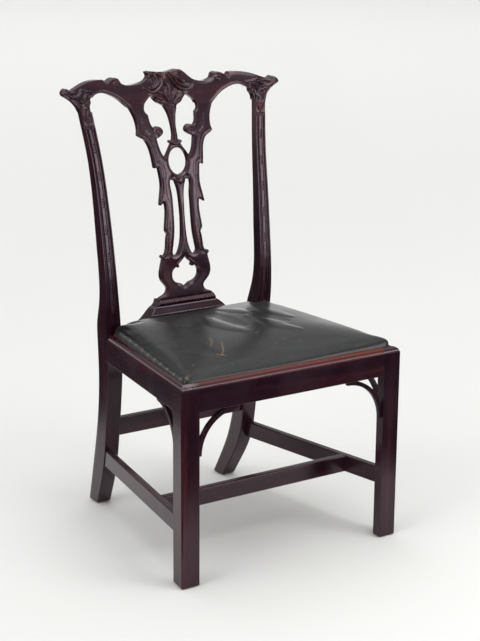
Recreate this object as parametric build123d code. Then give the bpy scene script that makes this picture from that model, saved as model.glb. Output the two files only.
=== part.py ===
from build123d import *
import math
import os

# Mahogany side chair with a drop-in seat. Millimetres, +Z up, +Y to the back, left is -X.
# It is drawn with y = 0 on the front of the front legs and moved to its origin at the end.

# Seat frame
seat_height = 419.0            # floor to the top of the seat rails
seat_front_width = 537.0       # across the front legs
seat_rear_width = 420.0        # across the rear posts at the top of the rails
seat_depth = 397.0             # front face to the front of the rear posts
rail_height = 58.0
front_rail_thickness = 30.0
side_rail_thickness = 28.0
rear_rail_setback = 1.5        # rear rail behind the post fronts
rear_rail_thickness = 38.0
lip_width = 13.0               # moulded edge around the drop-in seat
rebate_depth = 16.0            # top of the rails down to the ledge under the seat
bead_ledge = 2.0               # step below the rounded edge of the rails
edge_wear = 1.2                # softened edges
corner_wear = 3.2              # on the outer front corner of a front leg

# Front legs
leg_size = 42.0
leg_chamfer = 20.0             # on the inner rear corner, below the rails
foot_wear = 3.5                # worn edges of the feet

# Rear posts, from the floor to the crest rail
back_rise = 466.0              # top of the seat rails to the foot of the crest rail
post_lean = 0.10               # backward lean of the post front at the rails
post_spread = 0.085            # outward lean of the posts at the rails
post_kick = 95.0               # how far the foot stands behind the rails
post_foot_inset = 20.5
post_rake = 55.5               # how far the top stands behind the rails
post_top_splay = 20.5
post_width = 36.5              # across the front at the rails
post_depth = 42.0              # front to back at the rails
channel_width = 7.0            # sunk channel up the front of the post
channel_depth = 2.5
channel_rise = 20.0            # start of the channel above the rails
channel_stop = 42.0            # end of the channel below the crest rail
# share of height, share of kick, share of depth, share of inset, share of width
leg_levels = (
    (0.00, 1.00, 0.88, 1.00, 0.94),
    (0.28, 0.46, 1.09, 0.44, 0.96),
    (0.56, 0.25, 0.96, 0.32, 0.98),
    (0.84, 0.09, 0.95, 0.19, 1.00),
)
# share of height, share of rake, share of depth, share of splay, share of width
back_levels = (
    (0.12, -0.07, 0.80, 0.07, 0.89),
    (0.38, 0.10, 0.63, 0.15, 0.79),
    (0.60, 0.35, 0.55, 0.25, 0.73),
    (0.815, 0.68, 0.46, 0.49, 0.70),
    (1.00, 1.00, 0.43, 1.00, 0.725),
)

# Back: crest rail and splat lie on one hollow, raked surface
back_curve_radius = 1237.0     # side view
back_bow_radius = 950.0        # plan view
back_upright_rise = 81.0       # height above the rails where the back stands upright
splat_setback = 20.0           # splat front behind the post fronts at the rails
splat_thickness = 12.0
crest_thickness = 18.0
crest_height = 73.0            # crest foot to the top of the central carving
splat_width = 128.0            # across the round lobes at its foot
back_tenon_thickness = 6.0
post_tenon_width = 15.0
post_tenon_length = 18.0
splat_tenon_length = 12.0

# Shoe of the splat, on the rear rail
shoe_height = 55.0
shoe_top_width = 140.0
shoe_base_width = 240.0
shoe_tail = 9.0                # thickness of the thin ends
shoe_band = 12.0               # carved band along the top
shoe_band_setback = 5.0
shoe_front_gap = 0.8           # between the seat and the shoe
splat_foot_width = 112.0       # tenon of the splat in the shoe
splat_foot_length = 38.0

# Stretchers
stretcher_height = 36.0
stretcher_thickness = 16.0
side_stretcher_rise = 110.5    # floor to the bottom of the side stretchers
rear_stretcher_rise = 176.0
rear_stretcher_height = 40.0
rear_stretcher_setback = 10.0  # behind the post fronts
medial_setback = 130.0         # front of the middle stretcher behind the front legs
stretcher_round = 3.0          # rounded top edges
stretcher_inset = 2.0          # outer face behind the faces of leg and post
stretcher_tenon_thickness = 8.0
stretcher_tenon_shoulder = 6.0

# Joints
tenon_thickness = 10.0
tenon_setback = 12.0           # outer face to the tenon
tenon_shoulder = 7.0           # tenon below the ledge and above the rail's lower edge
leg_wall = 2.0                 # wood between the two tenons in a leg
post_rail_tenon = 24.0         # side rail tenon in the post
stretcher_tenon_length = 14.0
medial_tenon_length = 9.0
fit = 0.15                     # clearance around each tenon
tenon_root = 1.0               # start of a tenon inside its own square shoulder
slant_root = 20.0              # the same behind a slanting shoulder

# Corner brackets under the rails
bracket_radius = 84.0
bracket_width = 9.0
bracket_foot = 7.5             # thickness against the leg
bracket_head = 7.5             # thickness under the rail
bracket_thickness = 8.0
bracket_setback = 5.0
brad_radius = 0.9
brad_length = 16.0
brad_inset = 12.0              # from the ends of the bracket

# Corner blocks inside the rails
block_reach = 56.0
block_height = 30.0
block_drop = 5.0               # below the ledge
screw_radius = 2.0
screw_head_radius = 4.0
screw_head_height = 3.0
screw_grip = 13.0              # thread in the rail
screw_under = 15.0             # block under the screw head

# Drop-in seat
seat_gap = 0.6                 # between the leather and the lip
seat_rest_gap = 0.3            # between the leather and the ledge
seat_tongue = 6.0              # reach of the seat behind the post fronts
post_notch_gap = 2.0           # seat corners in front of the posts
post_side_gap = 2.0
seat_rise = 21.0               # leather above the rails at the edges
seat_crown = 10.0              # more at the middle
seat_crown_reach = 240.0       # from the middle to where the crown has run out
seat_round = 10.0              # rounded upper edge
seat_corner_round = 11.5
leather_thickness = 1.5
leather_turn = 31.0            # leather turned under the frame
layer_gap = 0.3
bar_width = 52.0
bar_thickness = 17.0
bar_tenon_thickness = 6.0
bar_tenon_length = 26.0
bar_tenon_width = 30.0
web_width = 50.0
web_thickness = 1.4
web_count = 4                  # each way
web_ease = 3.0                 # flat run beside each crossing
web_end = 12.0                 # end of the webbing inside the edge of the frame
sackcloth_thickness = 0.8
sackcloth_inset = 9.0
tack_head_radius = 3.5
tack_head_height = 0.9
tack_shank_radius = 0.9
tack_shank_length = 9.0
tack_inset = 24.0              # leather tacks inside the edge of the seat
tack_pitch = 34.0
tack_corner_gap = 26.0         # from the corners of the frame to the first tack
web_tack_pitch = 15.0
web_tack_inset = 8.0

# Worked out from the sizes above
half_front = seat_front_width / 2
half_rear = seat_rear_width / 2
taper = math.atan((half_front - half_rear) / seat_depth)
rail_bottom = seat_height - rail_height
ledge = seat_height - rebate_depth
leg_inner = half_front - leg_size
joint_low = rail_bottom - 6.0
joint_high = seat_height + 6.0
crest_foot = seat_height + back_rise
bead_radius = lip_width - bead_ledge
rail_tenon_length = leg_size - tenon_setback - tenon_thickness - leg_wall
shoe_back = seat_depth + rear_rail_setback + rear_rail_thickness
back_front = seat_depth + splat_setback
upright = seat_height + back_upright_rise
seat_back = seat_depth + seat_tongue
shoe_front = seat_back + shoe_front_gap
shoe_top = seat_height + shoe_height
crest_drawn_height = 73.0      # sizes at which the ornamental outlines are drawn
splat_drawn_rise = 411.0
splat_drawn_width = 128.0
far = 1000.0
sides = (("right", 1), ("left", -1))


# Drawing helpers

def in_plan(x, y):
    return Vector(x, y, 0)


def in_elevation(x, z):
    return Vector(x, 0, z)


def in_side(y, z):
    return Vector(0, y, z)


def outline_face(runs, place):
    # each run is smooth, and corners lie where two runs meet
    edges = []
    for run in runs:
        points = [place(*point) for point in run]
        edges.append(Line(*points) if len(points) == 2 else Spline(*points))
    return make_face(edges)


def polygon_face(points, place):
    return make_face(Polyline(*[place(*point) for point in points], close=True).edges())


def prism(points, bottom, top):
    face = polygon_face(points, in_plan)
    return Pos(0, 0, bottom) * extrude(face, amount=top - bottom, dir=(0, 0, 1))


def block(x0, x1, y0, y1, z0, z1):
    return prism(((x0, y0), (x1, y0), (x1, y1), (x0, y1)), z0, z1)


def through_y(face):
    return Pos(0, -far, 0) * extrude(face, amount=3 * far, dir=(0, 1, 0))


def along_x(face, start, length):
    return Pos(start, 0, 0) * extrude(face, amount=length, dir=(1, 0, 0))


def on_side(shape, sign):
    return shape if sign > 0 else mirror(shape, about=Plane.YZ)


def side_line(y, inset=0.0):
    # x of the right side's outer face, or of a line inside it
    return half_front - y * math.tan(taper) - inset / math.cos(taper)


def pin(start, direction, radius, length):
    base = Plane(origin=start, z_dir=direction)
    return base * Pos(0, 0, length / 2) * Cylinder(radius, length)


def solid_of(shape):
    return max(shape.solids(), key=lambda body: body.volume)


def cut_by(shape, tools):
    return solid_of(shape - list(tools))


def both_sides(shapes):
    return [on_side(shape, sign) for shape in shapes for _, sign in sides]


# Rear posts

def post_row(row, below):
    height, reach, depth, spread, width = row
    if below:
        z = height * joint_low
        front = seat_depth + post_lean * (seat_height - joint_low) + reach * post_kick
        outer = half_rear - post_spread * (seat_height - joint_low) - spread * post_foot_inset
    else:
        z = joint_high + height * (crest_foot - joint_high)
        front = seat_depth - post_lean * (joint_high - seat_height) + reach * post_rake
        outer = half_rear + post_spread * (joint_high - seat_height) + spread * post_top_splay
    return z, front, front + depth * post_depth, outer, outer - width * post_width


def rail_level_row(z):
    front = seat_depth + post_lean * (seat_height - z)
    outer = half_rear - post_spread * (seat_height - z)
    return z, front, front + post_depth, outer, outer - post_width


leg_rows = [post_row(row, True) for row in leg_levels]
back_rows = [post_row(row, False) for row in back_levels]
low_row = rail_level_row(joint_low)
high_row = rail_level_row(joint_high)


def post_edges(column, place):
    # leg curve, straight run at the rails, then the back
    lean = place(low_row[column] - high_row[column], joint_low - joint_high)
    foot_tip = place(leg_rows[0][column] - leg_rows[1][column], leg_rows[0][0] - leg_rows[1][0])
    top_tip = place(back_rows[-1][column] - back_rows[-2][column], back_rows[-1][0] - back_rows[-2][0])
    leg_points = [place(row[column], row[0]) for row in leg_rows + [low_row]]
    back_points = [place(row[column], row[0]) for row in [high_row] + back_rows]
    return [
        Spline(*leg_points, tangents=(foot_tip * -1, lean * -1)),
        Line(leg_points[-1], back_points[0]),
        Spline(*back_points, tangents=(lean * -1, top_tip)),
    ]


def post_view(near_column, far_column, place):
    near = post_edges(near_column, place)
    away = post_edges(far_column, place)
    closing = [Line(near[0] @ 0, away[0] @ 0), Line(near[-1] @ 1, away[-1] @ 1)]
    return make_face(near + away + closing)


def curve_at(column, place, z):
    # y or x of one edge of the post at a height
    for edge in post_edges(column, place):
        if (edge @ 0).Z <= z <= (edge @ 1).Z:
            low, high = 0.0, 1.0
            for _ in range(40):
                middle = (low + high) / 2
                low, high = (middle, high) if (edge @ middle).Z < z else (low, middle)
            point = edge @ low
            return point.X + point.Y
    raise ValueError("height outside the post")


def behind_post_front(offset=0.0):
    # all that lies behind the front face of the posts
    near = post_edges(1, in_side)
    start, end = near[0] @ 0, near[-1] @ 1
    closing = Polyline(start, in_side(far, start.Z), in_side(far, end.Z), end).edges()
    return Pos(0, offset, 0) * along_x(make_face(near + closing), -far, 2 * far)


def outside_post_inner():
    # all that lies outside the inner face of the right post
    near = post_edges(4, in_elevation)
    start, end = near[0] @ 0, near[-1] @ 1
    closing = Polyline(start, in_elevation(far, start.Z), in_elevation(far, end.Z), end).edges()
    return through_y(make_face(near + closing))


def channel_cut():
    # sunk channel up the middle of the post front
    low = joint_high + channel_rise
    high = crest_foot - channel_stop
    steps = 6
    left, right, floor = [], [], []
    for step in range(steps + 1):
        z = low + (high - low) * step / steps
        middle = (curve_at(3, in_elevation, z) + curve_at(4, in_elevation, z)) / 2
        left.append((middle - channel_width / 2, z))
        right.append((middle + channel_width / 2, z))
        floor.append((curve_at(1, in_side, z) + channel_depth, z))
    strip = outline_face([left, [left[-1], right[-1]], right, [right[0], left[0]]], in_elevation)
    front_top, front_low = (floor[0][0] - far, floor[-1][1]), (floor[0][0] - far, floor[0][1])
    closing = [[floor[-1], front_top], [front_top, front_low], [front_low, floor[0]]]
    cover = outline_face([floor] + closing, in_side)
    return through_y(strip) & along_x(cover, -far, 2 * far)


def post_blank():
    front_view = post_view(3, 4, in_elevation)
    side_view = post_view(1, 2, in_side)
    return solid_of(through_y(front_view) & along_x(side_view, -far, 2 * far))


# Back: hollow surface shared by the crest rail and the splat

def back_slab(setback, thickness):
    # slab between two arcs in the side view, turned about an axis in front of the chair
    low, high = seat_height - 40.0, crest_foot + 160.0
    arcs = []
    for depth in (setback, setback + thickness):
        radius = back_curve_radius - depth
        centre_y = back_front + back_curve_radius
        points = []
        for z in (low, upright + (high - upright) / 2, high):
            points.append(in_side(centre_y - math.sqrt(radius ** 2 - (z - upright) ** 2), z))
        arcs.append(ThreePointArc(*points))
    ends = [Line(arcs[0] @ 0, arcs[1] @ 0), Line(arcs[0] @ 1, arcs[1] @ 1)]
    profile = make_face(arcs + ends)
    axis = Axis((0, back_front - back_bow_radius, 0), (0, 0, 1))
    half_turn = 20.0
    return revolve(profile.rotate(axis, -half_turn), axis, revolution_arc=2 * half_turn)


# Ornamental outlines, right half, drawn from the crest foot or the shoe top

post_top_outer = back_rows[-1][3]
post_top_inner = back_rows[-1][4]


def crest_place(x, rise):
    return in_elevation(x, crest_foot + rise * crest_height / crest_drawn_height)


def splat_x(x):
    return x * splat_width / splat_drawn_width


def splat_place(x, rise):
    return in_elevation(splat_x(x), shoe_top + rise * (crest_foot - shoe_top) / splat_drawn_rise)


def mirrored(runs):
    return [[(-x, rise) for x, rise in run] for run in runs]


splat_top_half = splat_x(104.0)
horn_inner = splat_x(66.0)
stem_half = splat_x(17.0)


def crest_outline():
    def arch(share):
        return splat_top_half + share * (post_top_inner - splat_top_half)

    def ear(reach):
        return post_top_outer + reach

    underside = [
        [(stem_half, 0), (splat_x(28), 5.5)],
        [(splat_x(28), 5.5), (splat_x(34), 12), (splat_x(42), 20), (splat_x(48), 21.5)],
        [(splat_x(48), 21.5), (splat_x(58), 12), (splat_x(65), 4), (horn_inner, 0)],
        [(horn_inner, 0), (splat_top_half, 0)],
        [(splat_top_half, 0), (arch(0.09), 8), (arch(0.24), 20), (arch(0.47), 31.5),
         (arch(0.61), 35.5), (arch(0.77), 35), (arch(0.89), 29)],
        [(arch(0.89), 29), (arch(0.96), 26), (arch(0.955), 19)],
        [(arch(0.955), 19), (arch(1.0), 12), (arch(1.0), 0)],
        [(arch(1.0), 0), (ear(0), 0)],
    ]
    end = [
        [(ear(0), 0), (ear(7), 14), (ear(19), 26), (ear(34), 35)],
        [(ear(34), 35), (ear(38), 42), (ear(33), 48), (ear(25), 51)],
        [(ear(25), 51), (ear(19), 47), (ear(13), 45.5)],
        [(ear(13), 45.5), (ear(-3), 51.5), (ear(-26), 59), (ear(-48), 62.5), (ear(-72), 62)],
        [(ear(-72), 62), (ear(-78), 55)],
        [(ear(-78), 55), (ear(-88), 60), (ear(-102), 64), (ear(-112), 61)],
        [(ear(-112), 61), (ear(-117), 52)],
    ]
    valley = splat_x(87.0)
    right_rise = [
        [(ear(-117), 52), (ear(-128), 47.5), (valley, 46.5), (splat_x(66), 52), (splat_x(54), 62),
         (splat_x(46), 69)],
        [(splat_x(46), 69), (splat_x(36), 73), (splat_x(24), 71.5), (0, 69), (splat_x(-22), 70.5),
         (splat_x(-36), 72)],
        [(splat_x(-36), 72), (splat_x(-45), 70)],
        [(splat_x(-45), 70), (splat_x(-42), 62), (splat_x(-50), 53.5), (splat_x(-64), 49), (-valley, 46.5),
         (-ear(-128), 47.5), (-ear(-117), 52)],
    ]
    foot = [[(-stem_half, 0), (stem_half, 0)]]
    return outline_face(underside + end + right_rise + mirrored(underside + end) + foot, crest_place)


def splat_outline():
    right = [
        [(104, 411), (96, 394), (91.5, 374), (94, 355)],
        [(94, 355), (88, 349), (80, 345), (69, 329), (64, 308), (61.5, 283)],
        [(61.5, 283), (52, 286)],
        [(52, 286), (49.5, 267), (48.5, 246), (52, 226), (56, 203)],
        [(56, 203), (43.5, 211)],
        [(43.5, 211), (41.5, 190), (44.5, 166), (46.5, 148)],
        [(46.5, 148), (41.5, 140)],
        [(41.5, 140), (45.5, 116), (50, 99), (56.5, 92)],
        [(56.5, 92), (59, 80), (64, 58), (61, 41), (52, 30), (46.5, 20), (52, 10), (64, 5), (70, 0)],
    ]
    closing = [[(104, 411), (-104, 411)], [(70, 0), (-70, 0)]]
    return outline_face(right + mirrored(right) + closing, splat_place)


def splat_piercings():
    upper = [
        [(66, 411), (67, 404), (60, 395)],
        [(60, 395), (58, 381), (53, 369), (47, 366)],
        [(47, 366), (38, 369), (27.5, 358), (38, 347), (47, 345)],
        [(47, 345), (43.5, 328), (38, 312), (31, 303)],
        [(31, 303), (24, 312), (18, 321), (10, 332)],
        [(10, 332), (5, 344), (4, 368), (8.5, 394), (17, 411)],
        [(17, 411), (66, 411)],
    ]
    slot = [
        [(20, 264), (26, 250), (24, 230), (23, 205), (23, 170), (24, 145), (27, 123), (31, 101)],
        [(31, 101), (26, 93), (18, 95)],
        [(18, 95), (9, 118), (5.5, 145), (4.5, 170), (5, 205), (7, 232), (12, 250), (20, 264)],
    ]
    heart = [
        [(0, 91.5), (6, 82), (17, 73), (25, 66)],
        [(25, 66), (33.5, 52), (29, 38), (19, 32), (11, 30)],
        [(11, 30), (0, 22)],
    ]
    oval_points = 8
    oval = []
    for step in range(oval_points + 1):
        angle = math.pi * step / oval_points
        oval.append((23.5 * math.sin(angle), 294 + 28.5 * math.cos(angle)))
    shapes = [
        outline_face(upper, splat_place), outline_face(mirrored(upper), splat_place),
        outline_face(slot, splat_place), outline_face(mirrored(slot), splat_place),
        outline_face(heart + mirrored(heart), splat_place),
        outline_face([oval] + mirrored([oval]), splat_place),
    ]
    return [through_y(shape) for shape in shapes]


def back_box(x0, x1, z0, z1, play=0.0):
    # tenon that follows the hollow of the back, or its mortise with play
    slab = back_slab((splat_thickness - back_tenon_thickness) / 2 - play, back_tenon_thickness + 2 * play)
    return slab & block(x0 - play, x1 + play, 0, far, z0, z1 + play)


def splat_tenons(play=0.0):
    horn_gap = 6.0
    low = crest_foot - tenon_root
    stem = splat_x(12)
    boxes = [back_box(-stem, stem, low, crest_foot + splat_tenon_length / 2, play)]
    for _, sign in sides:
        ends = sorted((sign * (horn_inner + horn_gap), sign * (splat_top_half - horn_gap)))
        boxes.append(back_box(*ends, low, crest_foot + splat_tenon_length, play))
    return boxes


def splat_foot(play=0.0):
    half = splat_foot_width / 2
    return back_box(-half, half, shoe_top - splat_foot_length - play, shoe_top + tenon_root - play, play)


def post_tenon(play=0.0):
    middle = (post_top_outer + post_top_inner) / 2
    slab = back_slab((crest_thickness - back_tenon_thickness) / 2 - play, back_tenon_thickness + 2 * play)
    half = post_tenon_width / 2 + play
    tip = crest_foot + post_tenon_length + play
    return slab & block(middle - half, middle + half, 0, far, crest_foot - tenon_root, tip)


def make_crest():
    crest = solid_of(through_y(crest_outline()) & back_slab(0, crest_thickness))
    return cut_by(crest, splat_tenons(fit) + both_sides([post_tenon(fit)]))


def make_splat():
    splat = cut_by(through_y(splat_outline()), splat_piercings())
    splat = solid_of(splat & back_slab(0, splat_thickness))
    for tenon in splat_tenons() + [splat_foot()]:
        splat += tenon
    return splat


def make_shoe():
    front, top, band = shoe_front, shoe_top, shoe_top - shoe_band
    side_runs = [
        [(front, seat_height), (front, band - 24)],
        [(front, band - 24), (front + 1.5, band - 14), (front + 6, band - 7), (front + 8, band)],
        [(front + 8, band), (front + shoe_band_setback, band)],
        [(front + shoe_band_setback, band), (front + 3, band + 6), (front + 8, top)],
        [(front + 8, top), (shoe_back, top)],
        [(shoe_back, top), (shoe_back, seat_height)],
        [(shoe_back, seat_height), (front, seat_height)],
    ]
    half_top, half_base = shoe_top_width / 2, shoe_base_width / 2
    slope = half_base - half_top
    right = [
        [(half_top, top), (half_top + 0.04 * slope, band + 4), (half_top + 0.24 * slope, band - 5)],
        [(half_top + 0.24 * slope, band - 5), (half_top + 0.54 * slope, seat_height + 2.6 * shoe_tail),
         (half_top + 0.76 * slope, seat_height + 1.5 * shoe_tail), (half_base, seat_height + shoe_tail)],
        [(half_base, seat_height + shoe_tail), (half_base, seat_height)],
    ]
    closing = [[(half_top, top), (-half_top, top)], [(half_base, seat_height), (-half_base, seat_height)]]
    face = outline_face(right + mirrored(right) + closing, in_elevation)
    shoe = solid_of(through_y(face) & along_x(outline_face(side_runs, in_side), -far, 2 * far))
    return shoe - splat_foot(fit)


# Seat rails and legs

well_front = lip_width
well_back = shoe_front


def seat_well():
    # space for the drop-in seat above the ledge
    corner_front = side_line(well_front, lip_width)
    corner_back = side_line(well_back, lip_width)
    points = (
        (-corner_front, well_front), (corner_front, well_front),
        (corner_back, well_back), (-corner_back, well_back))
    return prism(points, ledge, seat_height + far)


def bead_section(place):
    # wood taken off the outer top edge to leave a ledge and a rounded lip
    low = seat_height - bead_radius
    slope = bead_radius * (1 - math.sqrt(0.5))
    crown = ThreePointArc(
        place(bead_ledge, low), place(bead_ledge + slope, seat_height - slope), place(lip_width, seat_height))
    outside = Polyline(
        place(lip_width, seat_height), place(lip_width, seat_height + far), place(-far, seat_height + far),
        place(-far, low), place(bead_ledge, low))
    return make_face([crown] + outside.edges())


def front_bead():
    return along_x(bead_section(in_side), -far, 2 * far)


def side_bead():
    # same edge along the right side, where depth is measured square to the side
    def from_side(depth, z):
        return Vector(half_front - depth / math.cos(taper), 0, z)

    run = Vector(-math.tan(taper), 1, 0)
    shape = extrude(bead_section(from_side), amount=2 * far, dir=run)
    return Pos(far * math.tan(taper), -far, 0) * shape


def front_rail_tenon(play=0.0):
    back = tenon_setback + tenon_thickness
    return block(
        leg_inner - tenon_root, leg_inner + rail_tenon_length + play, tenon_setback - play, back + play,
        rail_bottom + tenon_shoulder - play, ledge - tenon_shoulder + play)


def side_strip(y0, y1, inset0, inset1, z0, z1):
    # bar along the right side between two insets from its outer face
    points = (
        (side_line(y0, inset0), y0), (side_line(y1, inset0), y1),
        (side_line(y1, inset1), y1), (side_line(y0, inset1), y0))
    return prism(points, z0, z1)


def side_rail_tenons(play=0.0):
    low, high = rail_bottom + tenon_shoulder - play, ledge - tenon_shoulder + play
    inset0, inset1 = tenon_setback - play, tenon_setback + tenon_thickness + play
    front_tip = leg_size - rail_tenon_length - play
    front = side_strip(front_tip, leg_size + tenon_root, inset0, inset1, low, high)
    rear_end = seat_depth + post_rail_tenon + play
    rear = side_strip(seat_depth - slant_root, rear_end, inset0, inset1, low, high)
    return front, rear


def rear_rail_tenon(play=0.0):
    front = seat_depth + rear_rail_setback + tenon_setback
    tip = side_line(seat_depth + post_rail_tenon, tenon_setback + tenon_thickness) - leg_wall
    inside = half_rear - post_width - post_spread * rail_height - slant_root / 2
    return block(
        inside, tip + play, front - play, front + tenon_thickness + play,
        rail_bottom + tenon_shoulder - play, ledge - tenon_shoulder + play)


def make_front_rail():
    rail = block(-leg_inner, leg_inner, 0, front_rail_thickness, rail_bottom, seat_height)
    lower = rail.edges().filter_by(Axis.X).sort_by(Axis.Z)[:2]
    rail = fillet(lower, edge_wear) - seat_well() - front_bead()
    for tenon in both_sides([front_rail_tenon()]):
        rail += tenon
    return cut_by(rail, both_sides(front_brads() + block_screws()))


def make_side_rail():
    rail = side_strip(leg_size, seat_depth + rail_height, 0, side_rail_thickness, rail_bottom, seat_height)
    lower = [edge for edge in rail.edges() if edge.length > rail_height * 2 and edge.center().Z < ledge]
    rail = fillet(lower, edge_wear) - seat_well() - side_bead() - behind_post_front()
    rail = solid_of(rail)
    for tenon in side_rail_tenons():
        rail += tenon
    return cut_by(rail, side_brads() + block_screws())


def make_rear_rail():
    front = seat_depth + rear_rail_setback
    rail = block(-half_rear, half_rear, front, front + rear_rail_thickness, rail_bottom, seat_height)
    lower = rail.edges().filter_by(Axis.X).sort_by(Axis.Z)[:2]
    rail = fillet(lower, edge_wear) - seat_well()
    for _, sign in sides:
        rail -= on_side(outside_post_inner(), sign)
    rail = solid_of(rail)
    for tenon in both_sides([rear_rail_tenon()]):
        rail += tenon
    return cut_by(rail, both_sides(block_screws()))


# Stretchers

side_stretcher_top = side_stretcher_rise + stretcher_height
side_stretcher_middle = side_stretcher_rise + stretcher_height / 2
stretcher_end_x = curve_at(3, in_elevation, side_stretcher_middle) - stretcher_inset
stretcher_end_y = curve_at(1, in_side, side_stretcher_middle)
stretcher_start_x = side_line(leg_size) - stretcher_inset
stretcher_slope = (stretcher_start_x - stretcher_end_x) / (stretcher_end_y - leg_size)
stretcher_angle = math.atan(stretcher_slope)


def stretcher_line(y, inset=0.0):
    return stretcher_start_x - (y - leg_size) * stretcher_slope - inset / math.cos(stretcher_angle)


def stretcher_strip(y0, y1, inset0, inset1, z0, z1):
    points = (
        (stretcher_line(y0, inset0), y0), (stretcher_line(y1, inset0), y1),
        (stretcher_line(y1, inset1), y1), (stretcher_line(y0, inset1), y0))
    return prism(points, z0, z1)


def rounded_top(bar, run_length):
    top = bar.bounding_box().max.Z
    edges = [edge for edge in bar.edges() if edge.length > run_length and edge.center().Z > top - 0.1]
    return fillet(edges, stretcher_round)


def side_stretcher_tenons(play=0.0):
    inset0 = (stretcher_thickness - stretcher_tenon_thickness) / 2 - play
    inset1 = (stretcher_thickness + stretcher_tenon_thickness) / 2 + play
    low = side_stretcher_rise + stretcher_tenon_shoulder - play
    high = side_stretcher_top - stretcher_tenon_shoulder + play
    front_tip = leg_size - stretcher_tenon_length - play
    rear_tip = stretcher_end_y + stretcher_tenon_length + play
    front = stretcher_strip(front_tip, leg_size + tenon_root, inset0, inset1, low, high)
    rear = stretcher_strip(stretcher_end_y - 2 * stretcher_tenon_length, rear_tip, inset0, inset1, low, high)
    return front, rear


def medial_tenon(play=0.0):
    y0 = medial_setback + (stretcher_thickness - stretcher_tenon_thickness) / 2 - play
    y1 = medial_setback + (stretcher_thickness + stretcher_tenon_thickness) / 2 + play
    low = side_stretcher_rise + stretcher_tenon_shoulder - play
    high = side_stretcher_top - stretcher_tenon_shoulder + play
    return stretcher_strip(
        y0, y1, stretcher_thickness - medial_tenon_length - play, stretcher_thickness + 5.0, low, high)


def rear_stretcher_front():
    return curve_at(1, in_side, rear_stretcher_rise + rear_stretcher_height / 2) + rear_stretcher_setback


def rear_stretcher_tenon(play=0.0):
    y0 = rear_stretcher_front() + (stretcher_thickness - stretcher_tenon_thickness) / 2
    y1 = y0 + stretcher_tenon_thickness
    face = curve_at(4, in_elevation, rear_stretcher_rise + rear_stretcher_height / 2)
    return block(
        face - slant_root / 2, face + stretcher_tenon_length + play, y0 - play, y1 + play,
        rear_stretcher_rise + stretcher_tenon_shoulder - play,
        rear_stretcher_rise + rear_stretcher_height - stretcher_tenon_shoulder + play)


def make_side_stretcher():
    end = stretcher_end_y + stretcher_height
    bar = stretcher_strip(leg_size, end, 0, stretcher_thickness, side_stretcher_rise, side_stretcher_top)
    bar = solid_of(rounded_top(bar, 3 * stretcher_height) - behind_post_front())
    for tenon in side_stretcher_tenons():
        bar += tenon
    return bar - medial_tenon(fit)


def make_medial_stretcher():
    y0, y1 = medial_setback, medial_setback + stretcher_thickness
    inner0 = stretcher_line(y0, stretcher_thickness)
    inner1 = stretcher_line(y1, stretcher_thickness)
    points = ((-inner0, y0), (inner0, y0), (inner1, y1), (-inner1, y1))
    bar = prism(points, side_stretcher_rise, side_stretcher_top)
    bar = rounded_top(bar, 3 * stretcher_height)
    for _, sign in sides:
        bar += on_side(medial_tenon() & block(-far, far, y0, y1, 0, far), sign)
    return bar


def make_rear_stretcher():
    front = rear_stretcher_front()
    top = rear_stretcher_rise + rear_stretcher_height
    bar = block(-half_rear, half_rear, front, front + stretcher_thickness, rear_stretcher_rise, top)
    bar = rounded_top(bar, 3 * stretcher_height)
    for _, sign in sides:
        bar -= on_side(outside_post_inner(), sign)
    bar = solid_of(bar)
    for _, sign in sides:
        bar += on_side(rear_stretcher_tenon(), sign)
    return bar


# Corner brackets and their brads

bracket_low = rail_bottom - bracket_head - bracket_radius


def bracket_face(start, toward, place):
    # curved strip from the leg face at start to the rail, reaching toward the middle of the rail
    centre = start + toward * (bracket_foot + bracket_radius)
    points = ((start, bracket_low), (centre, bracket_low), (centre, rail_bottom), (start, rail_bottom))
    corner = polygon_face(points, place)
    middle = place(centre, bracket_low)
    plane = Plane(origin=middle, z_dir=place(1, 0).cross(place(0, 1)))
    ring = plane * (Circle(bracket_radius + bracket_width) - Circle(bracket_radius))
    return corner, ring


def bracket_solid(start, toward, place, run):
    corner, ring = bracket_face(start, toward, place)
    bar = extrude(corner, amount=2 * far, dir=run, both=True)
    hoop = extrude(ring, amount=2 * far, dir=run, both=True)
    return bar & hoop


def front_bracket_band():
    return block(-far, far, bracket_setback, bracket_setback + bracket_thickness, 0, far)


def side_bracket_band():
    return side_strip(0, far / 2, bracket_setback, bracket_setback + bracket_thickness, 0, far)


def bracket_brads(start, toward, place, depth):
    # one into the leg and one into the rail
    centre = start + toward * (bracket_foot + bracket_radius)
    reach = math.sqrt(bracket_radius ** 2 - brad_inset ** 2)
    into_leg = place(-toward, 0)
    leg_point = place(centre - toward * reach, bracket_low + brad_inset)
    rail_point = place(centre - toward * brad_inset, bracket_low + reach)
    return [
        pin(depth(leg_point), into_leg, brad_radius, brad_length),
        pin(depth(rail_point), Vector(0, 0, 1), brad_radius, brad_length),
    ]


def front_brads():
    middle = bracket_setback + bracket_thickness / 2

    def on_line(point):
        return Vector(point.X, middle, point.Z)

    return bracket_brads(leg_inner, -1, in_elevation, on_line)


def side_brads():
    middle = bracket_setback + bracket_thickness / 2

    def on_line(point):
        return Vector(side_line(point.Y, middle), point.Y, point.Z)

    return bracket_brads(leg_size, 1, in_side, on_line)


def make_front_bracket():
    bracket = solid_of(bracket_solid(leg_inner, -1, in_elevation, Vector(0, 1, 0)) & front_bracket_band())
    return cut_by(bracket, front_brads())


def make_side_bracket():
    bracket = solid_of(bracket_solid(leg_size, 1, in_side, Vector(1, 0, 0)) & side_bracket_band())
    return cut_by(bracket, side_brads())


# Corner blocks and their screws

block_top = ledge - block_drop
block_bottom = block_top - block_height


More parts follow.
